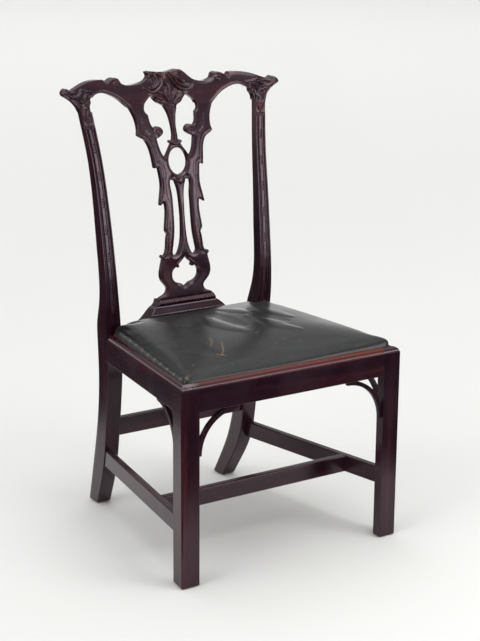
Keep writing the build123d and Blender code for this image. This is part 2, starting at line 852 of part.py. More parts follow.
def front_block_blank():
    inner = side_rail_thickness
    points = (
        (leg_inner, front_rail_thickness), (leg_inner - block_reach, front_rail_thickness),
        (side_line(leg_size + block_reach, inner), leg_size + block_reach),
        (side_line(leg_size, inner), leg_size), (leg_inner, leg_size))
    return prism(points, block_bottom, block_top)


def rear_block_blank():
    inner = side_rail_thickness
    back = seat_depth + rear_rail_setback
    points = (
        (side_line(back, inner), back), (side_line(back, inner) - block_reach, back),
        (side_line(back - block_reach, inner), back - block_reach))
    return prism(points, block_bottom, block_top)


def make_block(blank):
    return cut_by(blank, block_screws(pocket=block_reach))


def screw_places():
    # points on the rail faces behind the blocks, and the way the screws point
    middle = (block_top + block_bottom) / 2
    outward = Vector(math.cos(taper), math.sin(taper), 0)
    front_y, rear_y = leg_size + block_reach / 2, seat_depth - block_reach / 2
    back = seat_depth + rear_rail_setback
    return [
        (Vector(leg_inner - block_reach / 2, front_rail_thickness, middle), Vector(0, -1, 0)),
        (Vector(side_line(front_y, side_rail_thickness), front_y, middle), outward),
        (Vector(side_line(back, side_rail_thickness) - block_reach / 2, back, middle), Vector(0, 1, 0)),
        (Vector(side_line(rear_y, side_rail_thickness), rear_y, middle), outward),
    ]


def block_screws(pocket=0.0):
    # screws of the right side, or the holes that they need
    screws = []
    for point, direction in screw_places():
        head = point - direction * screw_under
        shank = pin(head, direction, screw_radius, screw_under + screw_grip)
        cap_length = screw_head_height + pocket
        cap_radius = screw_head_radius + (fit if pocket else 0)
        cap = pin(head - direction * cap_length, direction, cap_radius, cap_length)
        screws.append(solid_of(shank + cap))
    return screws


def make_leg():
    points = ((leg_inner, 0), (half_front, 0), (side_line(leg_size), leg_size), (leg_inner, leg_size))
    leg = prism(points, 0, seat_height)
    nib = ((leg_inner, leg_size), (leg_inner + leg_chamfer, leg_size), (leg_inner, leg_size - leg_chamfer))
    leg -= prism(nib, 0, rail_bottom)
    leg = chamfer(leg.faces().sort_by(Axis.Z)[0].edges(), foot_wear)
    corner = (half_front, 0, seat_height / 2)
    long_edges = leg.edges().filter_by(Axis.Z).filter_by(lambda edge: edge.length > ledge - foot_wear)
    leg = fillet(long_edges.sort_by_distance(corner)[1:], edge_wear)
    leg = fillet(leg.edges().sort_by_distance(corner)[:1], corner_wear)
    leg = leg - seat_well() - front_bead() - side_bead()
    cuts = [front_rail_tenon(fit), side_rail_tenons(fit)[0], side_stretcher_tenons(fit)[0]]
    return cut_by(leg, cuts + front_brads() + side_brads())


def make_post():
    post = post_blank() - channel_cut()
    post = chamfer(post.faces().sort_by(Axis.Z)[0].edges(), foot_wear)
    tenons = [side_rail_tenons(fit)[1], rear_rail_tenon(fit)]
    tenons += [side_stretcher_tenons(fit)[1], rear_stretcher_tenon(fit)]
    return cut_by(post, tenons) + post_tenon()


# Drop-in seat

leather_bottom = ledge + seat_rest_gap
bar_bottom = leather_bottom + leather_thickness + layer_gap
bar_top = bar_bottom + bar_thickness
bar_inset = leather_thickness + layer_gap
web_lift = web_thickness + layer_gap
sackcloth_bottom = bar_top + web_thickness + web_lift + layer_gap
stuffing_bottom = sackcloth_bottom + sackcloth_thickness + layer_gap
seat_top = seat_height + seat_rise + seat_crown
seat_middle = (lip_width + seat_back) / 2
crown_radius = (seat_crown_reach ** 2 + seat_crown ** 2) / (2 * seat_crown)
notch_front = back_rows[0][1] - post_notch_gap
notch_side = half_rear - post_width - post_spread * rebate_depth - post_side_gap


def seat_x(y, inset=0.0):
    return side_line(y, lip_width + seat_gap + inset)


def seat_outline(inset):
    front = lip_width + seat_gap + inset
    notch = notch_front - inset
    side = notch_side - inset
    right = [
        (seat_x(front, inset), front), (seat_x(notch, inset), notch),
        (side, notch), (side, seat_back - inset)]
    return right + [(-x, y) for x, y in reversed(right)]


def seat_form(inset, bottom):
    # crowned block with rounded front corners and upper edges, notched behind for the posts
    front = lip_width + seat_gap + inset
    back = seat_back - inset
    notch = notch_front - inset
    right = [(seat_x(front, inset), front), (seat_x(back, inset), back)]
    form = prism(right + [(-x, y) for x, y in reversed(right)], bottom, seat_top + far)
    form = fillet(form.edges().filter_by(Axis.Z).sort_by(Axis.Y)[:2], seat_corner_round - inset)
    form &= Pos(0, seat_middle, seat_top - crown_radius) * Sphere(crown_radius - inset)
    form = fillet(form.faces().sort_by(Axis.Z)[-1].edges(), seat_round - inset)
    for _, sign in sides:
        form -= on_side(block(notch_side - inset, far, notch, far, 0, far), sign)
    return solid_of(form)


def make_leather():
    inside = seat_form(leather_thickness, leather_bottom + leather_thickness)
    opening = prism(seat_outline(leather_turn), leather_bottom - 1.0, leather_bottom + 2 * leather_thickness)
    return cut_by(seat_form(0.0, leather_bottom) - inside - opening, leather_tacks())


def make_stuffing():
    form = seat_form(bar_inset, bar_bottom)
    return form & block(-far, far, -far, far, stuffing_bottom, seat_top)


def make_sackcloth():
    return prism(seat_outline(sackcloth_inset), sackcloth_bottom, sackcloth_bottom + sackcloth_thickness)


front_bar_back = lip_width + seat_gap + bar_inset + bar_width
rear_bar_front = notch_front - bar_inset - bar_width


def bar_middle(y):
    return seat_x(y, bar_inset + bar_width / 2)


def bar_tenons(play=0.0):
    middle_z = (bar_bottom + bar_top) / 2
    low = middle_z - bar_tenon_thickness / 2 - play
    high = middle_z + bar_tenon_thickness / 2 + play
    half = bar_tenon_width / 2 + play
    tenons = []
    for start, end in (
            (front_bar_back - bar_tenon_length - play, front_bar_back + tenon_root),
            (rear_bar_front - tenon_root, rear_bar_front + bar_tenon_length + play)):
        middle = bar_middle((start + end) / 2)
        tenons.append(block(middle - half, middle + half, start, end, low, high))
    return tenons


def make_bars():
    plate = prism(seat_outline(bar_inset), bar_bottom, bar_top)
    corners = plate.edges().filter_by(Axis.Z).sort_by(Axis.Y)[:2]
    plate = fillet(corners, seat_corner_round - bar_inset)
    front = plate & block(-far, far, -far, front_bar_back, 0, far)
    rear = plate & block(-far, far, rear_bar_front, far, 0, far)
    side = plate & block(0, far, front_bar_back, rear_bar_front, 0, far)
    reach = bar_inset + bar_width
    inner = ((0, 0), (seat_x(0, reach), 0), (seat_x(far, reach), far), (0, far))
    side = solid_of(side - prism(inner, 0, far))
    for tenon in bar_tenons():
        side += tenon
    for _, sign in sides:
        for tenon in bar_tenons(fit):
            front -= on_side(tenon, sign)
            rear -= on_side(tenon, sign)
    bars = {"seat_front_bar": front, "seat_rear_bar": rear}
    for name, sign in sides:
        bars[f"seat_{name}_bar"] = on_side(side, sign)
    tacks = leather_tacks() + web_tacks()
    return {name: cut_by(bar, tacks) for name, bar in bars.items()}


# Webbing, woven one strap over the other

opening_half = seat_x(rear_bar_front, bar_inset + bar_width)
web_pitch_x = 2 * opening_half / web_count
web_pitch_y = (rear_bar_front - front_bar_back) / web_count
long_places = [-opening_half + web_pitch_x * (index + 0.5) for index in range(web_count)]
cross_places = [front_bar_back + web_pitch_y * (index + 0.5) for index in range(web_count)]
web_flat = web_width / 2 + web_ease
web_front = lip_width + seat_gap + bar_inset + web_end
web_back = notch_front - bar_inset - web_end


def strap_profile(start, end, crossings, lifts):
    # centre line of the strap's lower face, raised where it passes over
    line = [(start, 0.0)]
    for middle, lift in zip(crossings, lifts):
        line += [(middle - web_flat, lift), (middle + web_flat, lift)]
    line += [(end, 0.0)]
    low = [(along, bar_top + lift) for along, lift in line]
    high = [(along, z + web_thickness) for along, z in reversed(low)]
    return low + high


def long_strap(index):
    lifts = [web_lift if (index + other) % 2 else 0.0 for other in range(web_count)]
    profile = strap_profile(web_front, web_back, cross_places, lifts)
    return along_x(polygon_face(profile, in_side), long_places[index] - web_width / 2, web_width)


def cross_strap(index):
    y = cross_places[index]
    end = seat_x(y + web_width / 2, bar_inset + web_end)
    lifts = [0.0 if (index + other) % 2 else web_lift for other in range(web_count)]
    profile = strap_profile(-end, end, long_places, lifts)
    strap = extrude(polygon_face(profile, in_elevation), amount=web_width, dir=(0, 1, 0))
    return Pos(0, y - web_width / 2, 0) * strap


def tack(x, y, z, up):
    # domed head against z, shank driven the other way
    head = pin(Vector(x, y, z), Vector(0, 0, up), tack_head_radius, tack_head_height)
    shank = pin(Vector(x, y, z), Vector(0, 0, -up), tack_shank_radius, tack_shank_length)
    rim = head.edges().sort_by(Axis.Z)[-1 if up > 0 else 0]
    return solid_of(fillet(rim, tack_head_height * 0.7) + shank)


def web_tacks():
    tacks = []
    offsets = (-web_tack_pitch, 0.0, web_tack_pitch)
    top = bar_top + web_thickness
    for x in long_places:
        for y in (web_front + web_tack_inset, web_back - web_tack_inset):
            tacks += [tack(x + offset, y, top, 1) for offset in offsets]
    for y in cross_places:
        end = seat_x(y + web_width / 2, bar_inset + web_end) - web_tack_inset
        for x in (-end, end):
            tacks += [tack(x, y + offset, top, 1) for offset in offsets]
    return tacks


def leather_tacks():
    # around the underside, through the turned leather into the frame
    tacks = []
    points = [Vector(x, y) for x, y in seat_outline(tack_inset)]
    for start, end in zip(points, points[1:] + points[:1]):
        run = end - start
        usable = run.length - 2 * tack_corner_gap
        count = int(usable / tack_pitch) + 1 if usable > 0 else 0
        for index in range(count):
            share = 0.5 if count == 1 else index / (count - 1)
            spot = start + run.normalized() * (tack_corner_gap + usable * share)
            tacks.append(tack(spot.X, spot.Y, leather_bottom, -1))
    return tacks


def make_webbing(strap):
    tacks = web_tacks()
    return Compound([cut_by(strap(index), tacks) for index in range(web_count)])


# All pieces by name

def frame_pieces():
    pieces = {
        "front_seat_rail": make_front_rail(),
        "rear_seat_rail": make_rear_rail(),
        "crest_rail": make_crest(),
        "splat": make_splat(),
        "splat_shoe": make_shoe(),
        "medial_stretcher": make_medial_stretcher(),
        "rear_stretcher": make_rear_stretcher(),
        "bracket_brads": Compound(both_sides(front_brads() + side_brads())),
        "block_screws": Compound(both_sides(block_screws())),
    }
    paired = {
        "front_leg": make_leg(),
        "rear_post": make_post(),
        "side_seat_rail": make_side_rail(),
        "side_stretcher": make_side_stretcher(),
        "front_bracket": make_front_bracket(),
        "side_bracket": make_side_bracket(),
        "front_corner_block": make_block(front_block_blank()),
        "rear_corner_block": make_block(rear_block_blank()),
    }
    for name, piece in paired.items():
        for side, sign in sides:
            pieces[f"{name}_{side}"] = on_side(piece, sign)
    return pieces


def seat_pieces():
    pieces = make_bars()
    pieces["lengthwise_webbing"] = make_webbing(long_strap)
    pieces["crosswise_webbing"] = make_webbing(cross_strap)
    pieces["webbing_tacks"] = Compound(web_tacks())
    pieces["sackcloth"] = make_sackcloth()
    pieces["stuffing"] = make_stuffing()
    pieces["leather_cover"] = make_leather()
    pieces["leather_tacks"] = Compound(leather_tacks())
    return pieces


frame = frame_pieces()
middle_depth = frame["rear_post_right"].bounding_box().max.Y / 2
os.makedirs("parts", exist_ok=True)
for name, piece in (frame | seat_pieces()).items():
    export_step(Pos(0, -middle_depth, 0) * piece, f"parts/{name}.step")
    print(name, round(piece.volume / 1000, 1), "cm3")
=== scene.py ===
import bpy
import math
import numpy as np
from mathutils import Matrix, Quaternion, Vector, kdtree


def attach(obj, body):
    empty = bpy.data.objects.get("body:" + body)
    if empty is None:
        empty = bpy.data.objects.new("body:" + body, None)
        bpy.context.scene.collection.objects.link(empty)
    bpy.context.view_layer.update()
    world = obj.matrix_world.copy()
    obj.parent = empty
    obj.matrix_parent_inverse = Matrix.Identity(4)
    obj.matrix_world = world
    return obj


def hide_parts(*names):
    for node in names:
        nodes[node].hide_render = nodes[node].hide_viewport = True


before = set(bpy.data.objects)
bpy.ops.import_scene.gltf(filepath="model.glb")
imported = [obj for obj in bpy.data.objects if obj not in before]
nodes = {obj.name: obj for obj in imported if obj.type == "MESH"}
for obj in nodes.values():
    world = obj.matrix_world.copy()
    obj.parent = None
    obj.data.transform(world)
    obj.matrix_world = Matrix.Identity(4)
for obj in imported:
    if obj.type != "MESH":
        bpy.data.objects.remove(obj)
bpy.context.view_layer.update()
print("frame loaded:", len(nodes), "nodes")

# heights and places of the chair, in millimetres, y counted from the front of the front legs
chair = {"depthShift": 266.99, "railTop": 419.0, "shoeTop": 474.0, "crestFoot": 885.0}


def hexColor(text):
    parts = [int(text[i:i + 2], 16) / 255 for i in (1, 3, 5)]
    return [c / 12.92 if c <= 0.04045 else ((c + 0.055) / 1.055) ** 2.4 for c in parts] + [1.0]


def addNode(tree, kind, inputs=None, **settings):
    node = tree.nodes.new(kind)
    for key, value in settings.items():
        setattr(node, key, value)
    for key, value in (inputs or {}).items():
        if isinstance(value, bpy.types.NodeSocket):
            tree.links.new(value, node.inputs[key])
        else:
            node.inputs[key].default_value = value
    return node


def newMaterial(name):
    material = bpy.data.materials.new(name)
    material.use_nodes = True
    material.node_tree.nodes.clear()
    return material, material.node_tree


def objectPlace(tree):
    return addNode(tree, "ShaderNodeTexCoord").outputs["Object"]


def painted(tree, name):
    return addNode(tree, "ShaderNodeAttribute", attribute_name=name).outputs["Fac"]


def axisOf(tree, vector, axis):
    return addNode(tree, "ShaderNodeSeparateXYZ", {"Vector": vector}).outputs[axis]


def noise(tree, place, scale, detail, **more):
    inputs = {"Vector": place, "Scale": scale, "Detail": detail, **more}
    return addNode(tree, "ShaderNodeTexNoise", inputs).outputs["Fac"]


def spread(tree, value, start, end, low=0.0, high=1.0, **settings):
    inputs = {"Value": value, "From Min": start, "From Max": end, "To Min": low, "To Max": high}
    return addNode(tree, "ShaderNodeMapRange", inputs, **settings).outputs["Result"]


def ramp(tree, value, stops):
    node = addNode(tree, "ShaderNodeValToRGB", {"Fac": value})
    elements = node.color_ramp.elements
    while len(elements) > 1:
        elements.remove(elements[-1])
    for i, (place, tone) in enumerate(stops):
        stop = elements.new(place) if i else elements[0]
        stop.position = place
        stop.color = hexColor(tone) if isinstance(tone, str) else (tone, tone, tone, 1.0)
    return node.outputs["Color"]


def mixed(tree, factor, low, high, **settings):
    inputs = {"Factor": factor, "A": low, "B": high}
    return addNode(tree, "ShaderNodeMix", inputs, **settings).outputs["Result"]


def tinted(tree, factor, under, color):
    return mixed(tree, factor, under, hexColor(color), data_type="RGBA")


def calc(tree, operation, *terms, **settings):
    inputs = dict(enumerate(terms))
    return addNode(tree, "ShaderNodeMath", inputs, operation=operation, **settings).outputs[0]


def vectorCalc(tree, operation, *terms, output="Vector"):
    inputs = dict(enumerate(terms))
    return addNode(tree, "ShaderNodeVectorMath", inputs, operation=operation).outputs[output]


def bumped(tree, height, strength, distance):
    inputs = {"Height": height, "Strength": strength, "Distance": distance}
    return addNode(tree, "ShaderNodeBump", inputs).outputs["Normal"]


def surface(tree, inputs):
    shader = addNode(tree, "ShaderNodeBsdfPrincipled", inputs)
    addNode(tree, "ShaderNodeOutputMaterial", {"Surface": shader.outputs["BSDF"]})


def alongGrain(tree, axis, stretch):
    # the object's own place, turned to the grain, and drawn out along it
    turn = {"X": (0, math.pi / 2, 0), "Y": (math.pi / 2, 0, 0), "Z": (0, 0, 0)}[axis]
    place = objectPlace(tree)
    turned = addNode(tree, "ShaderNodeMapping", {"Vector": place, "Rotation": turn}).outputs[0]
    along = addNode(tree, "ShaderNodeMapping", {"Vector": turned, "Scale": (1, 1, stretch)}).outputs[0]
    return place, turned, along


# old mahogany under a worn, waxed polish: close dark red-brown grain, long fine pores, satin shine
mahogany = {
    # the worn colour also serves as a painted highlight on raised carving, beads, rims and pearls
    "dark": "#150710", "mid": "#230c17", "light": "#3d191f", "worn": "#50302b", "bloom": "#2d1b24",
    "rubbedAndLit": "#642a1c", "chipped": "#6c6264", "bare": "#744838", "sheen": "#fde8f4",
    "figureMm": 26.0, "poreMm": 1.6, "stretch": 0.05, "roughness": (0.15, 0.26),
    # texture scales of the worn patches, the bloom and the edge of the bruise
    "patches": 55.0, "haze": 14.0, "ragged": 260.0,
    # how far a face is rubbed and lit by how far it looks up: rubbed red wood on the flat top, a painted
    # highlight on the round edge, painted shade in the quirk between
    "rubbedAndLitAt": [(0.20, 0.0), (0.34, 0.8), (0.52, 0.8), (0.60, 0.25), (0.70, 0.25), (0.80, 1.0)],
    # it grows from half to full across this run, and the polish goes with it
    "rubbedAndLitRun": (-0.27, 0.15), "polish": (0.5, 0.08),
    # a bruise is drawn out along the edge, with a ragged outline and a soft rim
    "chipLong": 0.38, "chipReach": (0.014, -0.005), "chipRim": (0.001, 0.006), "chipMuch": 0.75,
}


def makeMahogany(name, grainAxis, rubbedAndLitTop=0.0, chipAt=None):
    material, tree = newMaterial(name)
    m = mahogany
    place, turned, along = alongGrain(tree, grainAxis, m["stretch"])
    figure = noise(tree, along, 1000 / m["figureMm"], 4.0, Roughness=0.6, Distortion=0.4)
    # pores are under 0.3 mm wide on the chair and are drawn coarser so that they show
    pores = noise(tree, along, 1000 / m["poreMm"], 3.0, Roughness=0.65)
    tone = ramp(tree, figure, [(0.30, m["dark"]), (0.52, m["mid"]), (0.78, m["light"])])
    poreDark = spread(tree, pores, 0.36, 0.56, 0.55, 1.0)
    finish = mixed(tree, 1.0, tone, poreDark, data_type="RGBA", blend_type="MULTIPLY")
    # worn colour on rubbed edges and carving, with a painted highlight on raised carving, beads, rims and
    # pearls, from the piece's own attribute
    patchy = spread(tree, noise(tree, place, m["patches"], 3.0), 0.42, 0.68)
    worn = calc(tree, "MULTIPLY", painted(tree, "wearAndHighlight"), patchy, use_clamp=True)
    finish = tinted(tree, worn, finish, m["worn"])
    # thin greyish bloom of old wax in soft patches
    haze = noise(tree, turned, m["haze"], 4.0)
    finish = tinted(tree, spread(tree, haze, 0.45, 0.75, 0.0, 0.35), finish, m["bloom"])
    # bare wood where the polish is gone, from the piece's own attribute
    finish = tinted(tree, painted(tree, "bare"), finish, m["bare"])
    looks = {"IOR": 1.5, "Specular Tint": hexColor(m["sheen"])}
    if rubbedAndLitTop:
        # upward faces rubbed to the red wood, with a painted highlight on the round edge and painted shade in
        # the quirk, more so towards the right, with no polish left
        facing = addNode(tree, "ShaderNodeNewGeometry").outputs["Normal"]
        level = ramp(tree, axisOf(tree, facing, "Z"), m["rubbedAndLitAt"])
        right = spread(tree, axisOf(tree, place, "X"), *m["rubbedAndLitRun"], 0.5 * rubbedAndLitTop, rubbedAndLitTop)
        amount = calc(tree, "MULTIPLY", level, right)
        finish = tinted(tree, amount, finish, m["rubbedAndLit"])
        looks["Specular IOR Level"] = spread(tree, amount, 0.0, 1.0, *m["polish"])
    if chipAt:
        # a bruised edge, greyish and ragged, about 30 mm long and 10 mm high
        off = vectorCalc(tree, "SUBTRACT", place, chipAt)
        flat = vectorCalc(tree, "MULTIPLY", off, (m["chipLong"], 1, 1))
        gap = vectorCalc(tree, "LENGTH", flat, output="Value")
        edge = calc(tree, "MULTIPLY_ADD", noise(tree, place, m["ragged"], 3.0), *m["chipReach"])
        inside = calc(tree, "SUBTRACT", gap, edge)
        bruise = spread(tree, inside, *m["chipRim"], m["chipMuch"], 0.0)
        finish = tinted(tree, bruise, finish, m["chipped"])
    rough = spread(tree, haze, 0.3, 0.7, *m["roughness"])
    relief = bumped(tree, pores, 0.25, 0.0004)
    surface(tree, {"Base Color": finish, "Roughness": rough, "Normal": relief, **looks})
    return material


# bare ash of the seat frame and the corner blocks: pale brown, open straight grain, dull
bareAsh = {"dark": "#5a3f28", "light": "#8a6a46", "poreMm": 2.2, "bands": 70.0, "stretch": 0.06}


def makeBareAsh(name, grainAxis):
    material, tree = newMaterial(name)
    a = bareAsh
    along = alongGrain(tree, grainAxis, a["stretch"])[-1]
    grain = noise(tree, along, 1000 / a["poreMm"], 4.0)
    both = mixed(tree, 0.5, grain, noise(tree, along, a["bands"], 3.0))
    tone = ramp(tree, both, [(0.36, a["dark"]), (0.62, a["light"])])
    relief = bumped(tree, grain, 0.3, 0.0004)
    surface(tree, {"Base Color": tone, "Roughness": 0.75, "IOR": 1.5, "Normal": relief})
    return material


# old black-green hide, waxed: fine pebble grain, soft grey sheen, pale scuffs with a painted highlight along
# the rim, and tan cracks
seatLeather = {
    "dark": "#0a0c0b", "light": "#151817", "scuffAndHighlight": "#6f7068", "crack": "#8a6a4a", "pebbleMm": 1.5,
    # texture scales of the broad tone, the flecks and the wrinkles
    "broad": 9.0, "flecks": 420.0, "wrinkles": 120.0,
}


def makeSeatLeather(name):
    material, tree = newMaterial(name)
    s = seatLeather
    place = objectPlace(tree)
    broad = noise(tree, place, s["broad"], 5.0, Roughness=0.6)
    finish = ramp(tree, broad, [(0.32, s["dark"]), (0.70, s["light"])])
    # pale flecks, about 2 mm, thinly scattered
    fleck = spread(tree, noise(tree, place, s["flecks"], 2.0), 0.66, 0.74, 0.0, 0.6)
    finish = tinted(tree, fleck, finish, s["scuffAndHighlight"])
    # pale scuffs and a painted highlight along the rim, from the piece's own attribute
    finish = tinted(tree, painted(tree, "wearAndHighlight"), finish, s["scuffAndHighlight"])
    finish = tinted(tree, painted(tree, "crack"), finish, s["crack"])
    # real pebbles are about 0.6 mm and are drawn coarser so that they show
    pebble = addNode(tree, "ShaderNodeTexVoronoi", {"Vector": place, "Scale": 1000 / s["pebbleMm"]},
                     feature="SMOOTH_F1").outputs["Distance"]
    grain = calc(tree, "ADD", pebble, noise(tree, place, s["wrinkles"], 5.0))
    surface(tree, {
        "Base Color": finish, "Roughness": spread(tree, broad, 0.3, 0.7, 0.27, 0.36),
        "Normal": bumped(tree, grain, 0.1, 0.0006), "IOR": 1.5, "Specular IOR Level": 0.32,
        "Sheen Weight": 0.01, "Sheen Roughness": 0.5,
    })
    return material


# coarse plain-woven cloths: jute webbing and sackcloth, dull, thread spacing in millimetres
wovenCloths = {
    "juteWebbing": {"dark": "#5b4a30", "light": "#9a835a", "threadMm": 2.6},
    "sackcloth": {"dark": "#6b5836", "light": "#b19a6c", "threadMm": 1.8},
}


def makeWovenCloth(name):
    material, tree = newMaterial(name)
    c = wovenCloths[name]
    place = objectPlace(tree)
    waves = {"Vector": place, "Scale": 1000 / c["threadMm"] / 6.283 * 2, "Distortion": 0.6}
    warp, weft = (
        addNode(tree, "ShaderNodeTexWave", waves, bands_direction=axis).outputs["Fac"] for axis in "XY")
    weave = calc(tree, "MULTIPLY", warp, weft)
    both = mixed(tree, 0.5, weave, noise(tree, place, 160.0, 4.0))
    tone = ramp(tree, both, [(0.2, c["dark"]), (0.7, c["light"])])
    relief = bumped(tree, both, 0.6, 0.0008)
    surface(tree, {"Base Color": tone, "Roughness": 0.95, "IOR": 1.45, "Sheen Weight": 0.2, "Normal": relief})
    return material


# curled horsehair: matted, near black
curledHair = {"dark": "#120e0b", "light": "#3a2f25", "curlMm": 5.0}


def makeCurledHair(name):
    material, tree = newMaterial(name)
    curls = noise(tree, objectPlace(tree), 1000 / curledHair["curlMm"], 6.0, Distortion=2.5)
    tone = ramp(tree, curls, [(0.35, curledHair["dark"]), (0.65, curledHair["light"])])
    relief = bumped(tree, curls, 0.9, 0.002)
    surface(tree, {"Base Color": tone, "Roughness": 0.85, "IOR": 1.5, "Normal": relief})
    return material


# hand-cut iron: dull grey-brown with specks of rust
cutIron = {"dark": "#1f1c1b", "rust": "#4a2a1c", "speckMm": 0.9}


def makeCutIron(name):
    material, tree = newMaterial(name)
    specks = noise(tree, objectPlace(tree), 1000 / cutIron["speckMm"], 4.0)
    tone = ramp(tree, specks, [(0.45, cutIron["dark"]), (0.70, cutIron["rust"])])
    rough = spread(tree, specks, 0.4, 0.7, 0.45, 0.8)
    surface(tree, {"Base Color": tone, "Roughness": rough, "Metallic": 0.85})
    return material


uprightWood = makeMahogany("polishedMahoganyUpright", "Z")
crossWood = makeMahogany("polishedMahoganyAcross", "X")
deepWood = makeMahogany("polishedMahoganyDeep", "Y")
# the rails' rubbed tops carry a painted highlight on the round edge and painted shade in the quirk
frontRailWood = makeMahogany("rubbedLitMahoganyAcross", "X", rubbedAndLitTop=0.8)
sideRailWood = makeMahogany("rubbedLitMahoganyDeep", "Y", rubbedAndLitTop=0.2)
bruisedLegWood = makeMahogany("bruisedMahoganyUpright", "Z", chipAt=(-0.2475, -0.2605, 0.4185))
ashAcross = makeBareAsh("bareAshAcross", "X")
ashDeep = makeBareAsh("bareAshDeep", "Y")
leather = makeSeatLeather("waxedSeatLeather")
webbing = makeWovenCloth("juteWebbing")
sacking = makeWovenCloth("sackcloth")
hair = makeCurledHair("curledHorsehair")
iron = makeCutIron("handCutIron")

finishes = {
    "front_seat_rail": frontRailWood, "rear_seat_rail": crossWood, "crest_rail": crossWood,
    "splat": uprightWood, "splat_shoe": crossWood, "medial_stretcher": crossWood, "rear_stretcher": crossWood,
    "seat_front_bar": ashAcross, "seat_rear_bar": ashAcross, "seat_left_bar": ashDeep,
    "seat_right_bar": ashDeep, "lengthwise_webbing": webbing, "crosswise_webbing": webbing,
    "sackcloth": sacking, "stuffing": hair, "leather_cover": leather, "webbing_tacks": iron,
    "leather_tacks": iron, "bracket_brads": iron, "block_screws": iron,
}
pairedFinishes = {
    "front_leg": uprightWood, "rear_post": uprightWood, "side_seat_rail": sideRailWood,
    "side_stretcher": deepWood, "front_bracket": uprightWood, "side_bracket": uprightWood,
    "front_corner_block": ashAcross, "rear_corner_block": ashAcross,
}
for name, finish in pairedFinishes.items():
    for side in ("left", "right"):
        finishes[f"{name}_{side}"] = finish
finishes["front_leg_left"] = bruisedLegWood
for name, finish in finishes.items():
    mesh = nodes[name].data
    mesh.materials.clear()
    mesh.materials.append(finish)
print("materials on", len(finishes), "nodes")


def pickOnly(*pieces):
    bpy.ops.object.select_all(action="DESELECT")
    for piece in pieces:
        piece.select_set(True)
    bpy.context.view_layer.objects.active = pieces[0]


def joined(pieces):
    pickOnly(*pieces)
    bpy.ops.object.join()
    return bpy.context.object


def applyAll(piece):
    pickOnly(piece)
    for modifier in list(piece.modifiers):
        bpy.ops.object.modifier_apply(modifier=modifier.name)


def linked(name, mesh):
    piece = bpy.data.objects.new(name, mesh)
    bpy.context.scene.collection.objects.link(piece)
    return piece


def dress(piece, finish, body):
    piece.data.materials.clear()
    piece.data.materials.append(finish)
    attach(piece, body)


def newPiece(name, mesh, finish, body):
    piece = linked(name, mesh)
    dress(piece, finish, body)
    return piece


def onWholeMesh(piece, step, **settings):
    pickOnly(piece)
    bpy.ops.object.mode_set(mode="EDIT")
    bpy.ops.mesh.select_all(action="SELECT")
    step(**settings)
    bpy.ops.object.mode_set(mode="OBJECT")


def addRemesh(piece, voxelMm):
    remesh = piece.modifiers.new("clay", "REMESH")
    remesh.mode = "VOXEL"
    remesh.voxel_size = voxelMm / 1000


def addSmooth(piece, times, factor):
    smooth = piece.modifiers.new("soften", "SMOOTH")
    smooth.iterations = times
    smooth.factor = factor


def meshPoints(piece):
    mesh = piece.data
    points = np.empty(len(mesh.vertices) * 3)
    normals = np.empty(len(mesh.vertices) * 3)
    mesh.vertices.foreach_get("co", points)
    mesh.vertex_normals.foreach_get("vector", normals)
    return points.reshape(-1, 3) * 1000, normals.reshape(-1, 3)


def setPoints(piece, points):
    piece.data.vertices.foreach_set("co", (points / 1000).ravel())
    piece.data.update()


def setAttribute(piece, name, values):
    layer = piece.data.attributes.new(name, "FLOAT", "POINT")
    layer.data.foreach_set("value", np.clip(values, 0, 1).astype(np.float32))


def ease(low, high, value):
    share = np.clip((value - low) / (high - low), 0, 1)
    return share * share * (3 - 2 * share)


def bell(value, middle, wide):
    return np.exp(-((value - middle) / wide) ** 2)


def dome(share, power=2):
    # rounded section: one in the middle, nothing at the edges
    return np.sqrt(np.clip(1 - share ** power, 0, 1))


def smoothLine(points, perRun=8):
    # even curve through the drawn points
    p = np.array(points, dtype=float)
    if len(p) < 3:
        return p
    ends = np.vstack([2 * p[0] - p[1], p, 2 * p[-1] - p[-2]])
    out = []
    for i in range(1, len(ends) - 2):
        a, b, c, d = ends[i - 1:i + 3]
        for k in range(perRun):
            t = k / perRun
            bend = (2 * a - 5 * b + 4 * c - d) * t ** 2 + (3 * b - a - 3 * c + d) * t ** 3
            out.append(0.5 * (2 * b + (c - a) * t + bend))
    out.append(p[-1])
    return np.array(out)


def gouge(flat, path, widths, height):
    # rounded ridge, or a groove with negative height, along a path on the flat (x, z) drawing
    line = smoothLine(path)
    reach = max(widths)
    inside = np.all((flat > line.min(0) - reach) & (flat < line.max(0) + reach), axis=1)
    picked = np.nonzero(inside)[0]
    found = np.zeros(len(flat))
    if not len(picked):
        return found
    near = flat[picked]
    best = np.full(len(picked), 1e9)
    along = np.zeros(len(picked))
    count = len(line) - 1
    for i in range(count):
        a, run = line[i], line[i + 1] - line[i]
        length = run @ run or 1e-9
        t = np.clip(((near - a) @ run) / length, 0, 1)
        gap = np.hypot(*(near - a - t[:, None] * run).T)
        closer = gap < best
        best[closer] = gap[closer]
        along[closer] = (i + t[closer]) / count
    start, middle, end = widths
    opening, closing = start + (middle - start) * along * 2, middle + (end - middle) * (along * 2 - 1)
    width = np.where(along < 0.5, opening, closing)
    found[picked] = height * dome(best / np.maximum(width, 0.05))
    return found


def carve(flat, ridges):
    raised = np.zeros(len(flat))
    cut = np.zeros(len(flat))
    for path, widths, height in ridges:
        marks = gouge(flat, path, widths, height)
        if height > 0:
            raised = np.maximum(raised, marks)
        else:
            cut = np.minimum(cut, marks)
    return raised, cut


def flipped(ridges):
    return [([(-x, z) for x, z in path], widths, height) for path, widths, height in ridges]


